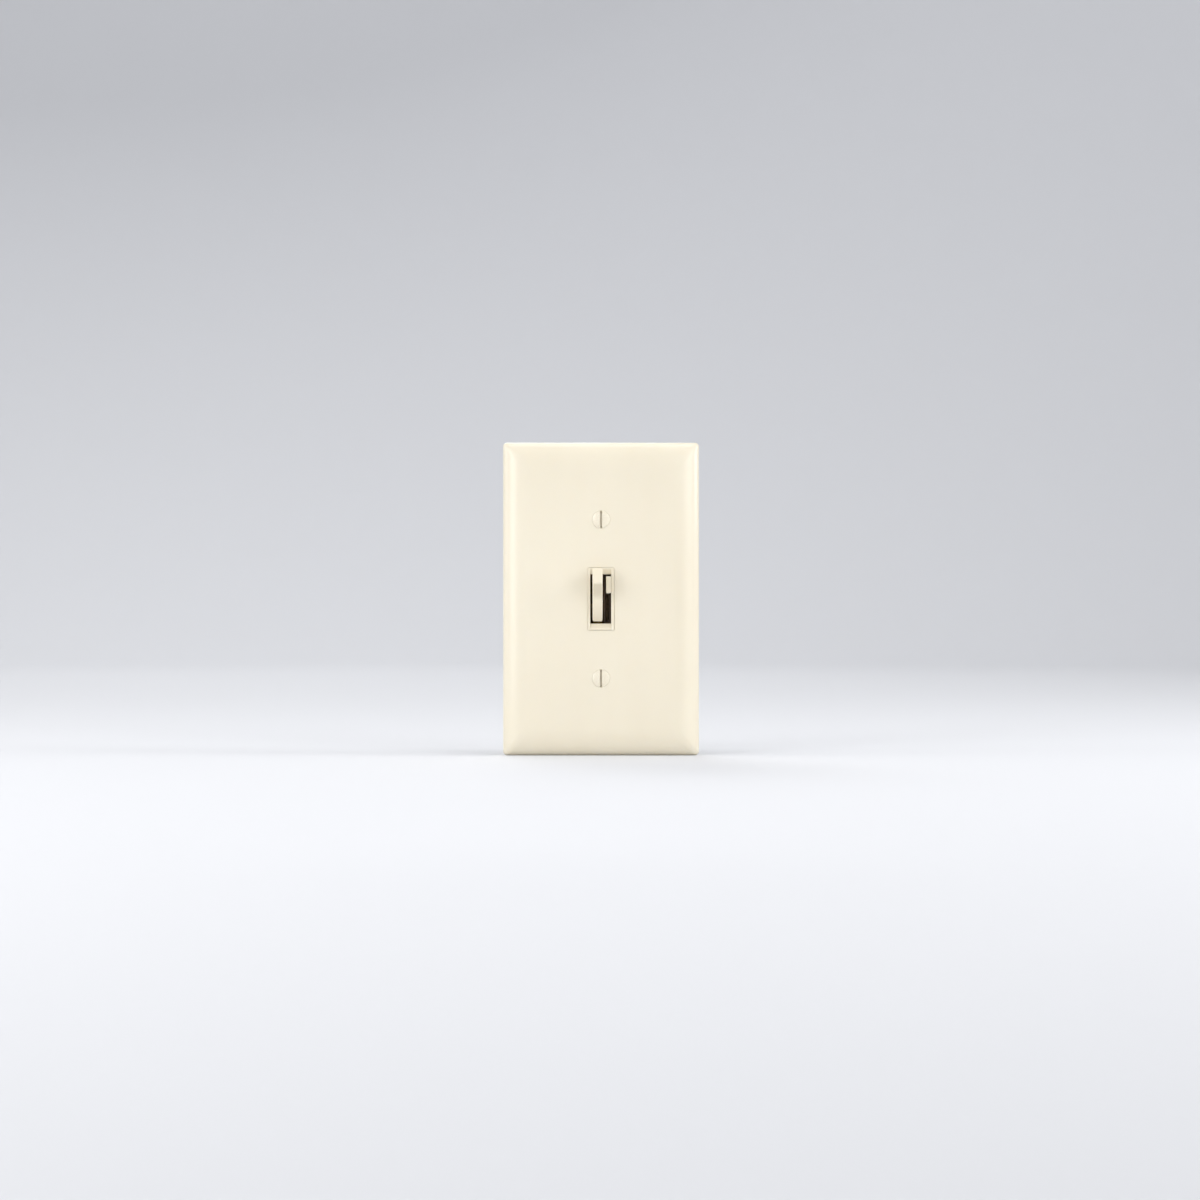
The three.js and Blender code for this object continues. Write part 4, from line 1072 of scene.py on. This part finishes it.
def make_housing():
    low, high = box("rear_housing")
    front, back = low.y, high.y
    corner, edge = 2.5, 2.2
    rings = [housing_ring(0.15, corner - 0.1, front), housing_ring(0, corner, front + 0.15)]
    for i in range(9):
        a = i / 8 * math.pi / 2
        inset = edge * (1 - math.cos(a))
        rings.append(housing_ring(inset, max(0.5, corner - inset), back - edge + edge * math.sin(a)))
    housing = loft("rear_housing_moulding", rings)
    wall = 2.0
    inside = [housing_ring(wall, 1.2, -1), housing_ring(wall, 1.2, back - wall)]
    combine(housing, [loft("hollow", inside)], "DIFFERENCE")
    posts, holes = [], []
    for number in range(1, 5):
        centre = middle(f"housing_screw_{number}")
        at = (centre.x, 0, centre.z)
        posts.append(stud("boss", [(0, front + 0.15), (2.9, front + 0.15), (3, front + 0.3),
                                   (3, back - wall + 0.2), (0, back - wall + 0.2)], at, 36))
        holes.append(stud("pilot", [(0, -1), (1.35, -1), (1.35, 11), (0, 11)], at, 28))
    board_back = box("circuit_board")[1].y + 0.1
    for x, z in ((12, 26), (-6, -28.5), (12, -26), (-14, 24)):
        posts.append(stud("stand", [(0, board_back), (2.2, board_back), (2.2, back - wall + 0.2),
                                    (0, back - wall + 0.2)], (x, 0, z), 32))
        holes.append(stud("pilot", [(0, 21), (0.95, 21), (0.95, 27.4), (0, 27.4)], (x, 0, z), 28))
    combine(housing, posts, "UNION")
    for name, side in (("line", -1), ("load", 1)):
        head = middle(f"terminal_screw_{name}")
        x = sorted((side * (high.x - 3), side * (high.x + 1)))
        holes.append(block("window", x, (head.y - 5.5, head.y + 5.5), (head.z - 5.5, head.z + 5.5)))
    # the back carries a blank sunk panel, a wire strip gauge and the marks of the ejector pins
    panel = [upright_ring(14, 17, 1.5, back - 0.25), upright_ring(14.1, 17.1, 1.6, back + 1)]
    label = loft("panel", panel)
    label.data.transform(Matrix.Translation((0, 0, 6 * MM)))
    holes.append(label)
    gauge = [upright_ring(9.5, 1.1, 1.05, back - 0.6), upright_ring(9.6, 1.2, 1.15, back + 1)]
    strip = loft("gauge", gauge)
    strip.data.transform(Matrix.Translation((3 * MM, 0, -21 * MM)))
    holes.append(strip)
    for x, z in ((-17, 29), (17, 29), (17, -29), (-17, -20)):
        holes.append(stud("witness", [(0, back - 0.12), (1.6, back - 0.12), (1.6, back + 1),
                                      (0, back + 1)], (x, 0, z), 32))
    combine(housing, holes, "DIFFERENCE")
    ease_edges(housing, 0.12, 2, 40)
    piece(shade(housing, 30), "rear_housing")


def make_insulation():
    sheet = copy_of("insulating_sheet", "fibre_insulating_sheet")
    piece(shade(sheet, 30), "insulating_sheet")


# ------------------------------------------------------------------ terminals and electronics


def make_terminals():
    for name, side in (("line", -1), ("load", 1)):
        eased_copy(f"terminal_plate_{name}", f"terminal_strip_{name}", 0.1, 2, 40)
        node = f"terminal_screw_{name}"
        low, high = box(node)
        outer, tip = max(abs(low.x), abs(high.x)), min(abs(low.x), abs(high.x))
        centre = middle(node)
        turn = Matrix.Rotation(math.radians(-90 * side), 4, "Y")
        lay = Matrix.Translation(Vector((0, centre.y, centre.z)) * MM) @ turn
        machine_screw(
            f"terminal_screw_{name}_threaded", node, pan_head(3.68, -outer, -19.8), 1.65, -19.8,
            -tip, lay, slot_cutter(1.0, -outer - 1, -outer + 1.0), -19.2,
        )


def make_choke():
    low, high = box("choke_core")
    centre, tall = middle("choke_core"), high.y - low.y
    section = rounded([(7.4, 0), (3.6, 0), (3.6, tall), (7.4, tall)], 0.7, 4)
    core = turned("powdered_iron_core", [(p.x, p.y) for p in section] + [tuple(section[0])], 64)
    stand = Matrix.Translation(Vector((centre.x, low.y, centre.z)) * MM) @ ONTO_Y
    piece(shade(place(core, stand)), "choke_core")
    around_core = Matrix.Translation(centre * MM) @ ONTO_Y
    wire = 0.32
    across, along = 3.8 + 2 * wire, tall + 2 * wire
    for layer, turns in enumerate((23, 19)):
        coil = linked(bpy.data.meshes.new(f"choke_wire_layer_{layer + 1}"))
        more = layer * 1.8 * wire * 2
        run_tree(
            coil, WINDING, turns=turns, ring_radius=5.5 * MM, start_angle=math.radians(-63),
            sweep=math.radians(306), radial=(across + 0.06 + more) * MM,
            axial=(along + 0.06 + more) * MM, wire_radius=wire * MM,
            material=FINISHES["copper_wire"],
        )
        piece(place(coil, around_core), "choke_winding")


def ringed_finishes():
    """The lacquer of each component that carries painted rings, made for its own length."""
    marks = {
        "resistor_1": ("#CDB48B", ("#7A3B1E", "#1A1A1A", "#E0872B", "#B99038")),
        "resistor_2": ("#CDB48B", ("#D6B42C", "#6B3FA0", "#B32A1E", "#B99038")),
        "diac": ("#3C68A6", ("#101418",)),
    }
    return {
        node: banded_lacquer(f"lacquered_{node}", node, ground, bands)
        for node, (ground, bands) in marks.items()
    }


def make_inner_pieces():
    """The remaining inner pieces keep their CAD form, with their sharp edges broken."""
    ringed = ringed_finishes()
    plain = {
        "contact_rocker": 0.1, "moving_contact": 0.12, "fixed_contact": 0.12, "contact_arm": 0.12,
        "rocker_bracket": 0.1, "rocker_pin": 0.1, "slider_carrier": 0.25, "pot_wiper": 0.04,
        "pot_frame": 0.12, "pot_track_board": 0.1, "circuit_board": 0.1, "board_screw_1": 0.06,
        "board_screw_2": 0.06, "triac_pad": 0.03, "triac_tab": 0.1, "triac_body": 0.12,
        "triac_rivet": 0.1, "filter_capacitor": 0.2, "timing_capacitor": 0.2, "resistor_1": 0.03,
        "resistor_2": 0.03, "diac": 0.03,
    }
    for node, width in plain.items():
        eased_copy(node, f"{node}_finished", width, 2, 35, 32, ringed.get(node))


def lay_floor():
    """A pale floor that curves up into a round wall, so that every side looks onto paper."""
    ground = cad_box[0].z / MM
    reach, rise, wall_top = 1500, 700, 2600
    profile = [(0, ground), (200, ground), (600, ground), (reach, ground)]
    profile += [(reach + x, ground + rise + z) for x, z in arc((0, 0), rise, -90, 0, 24)]
    profile += [(reach + rise, ground + wall_top)]
    cove = turned("background_cove", profile, 96)
    cove.data.flip_normals()
    cove.data.materials.append(studio_paper())
    cove.data.shade_smooth()


THREAD = thread_tree()
WINDING = winding_tree()
SPRING = spring_tree()

stand_camera()
light_studio()
lay_floor()
make_wall_plate()
make_plate_screws()
make_bezel()
make_toggle()
make_snap_parts()
make_slide_knob()
make_strap()
make_strap_screws()
make_earth_screw()
make_housing()
make_insulation()
make_terminals()
make_choke()
make_inner_pieces()
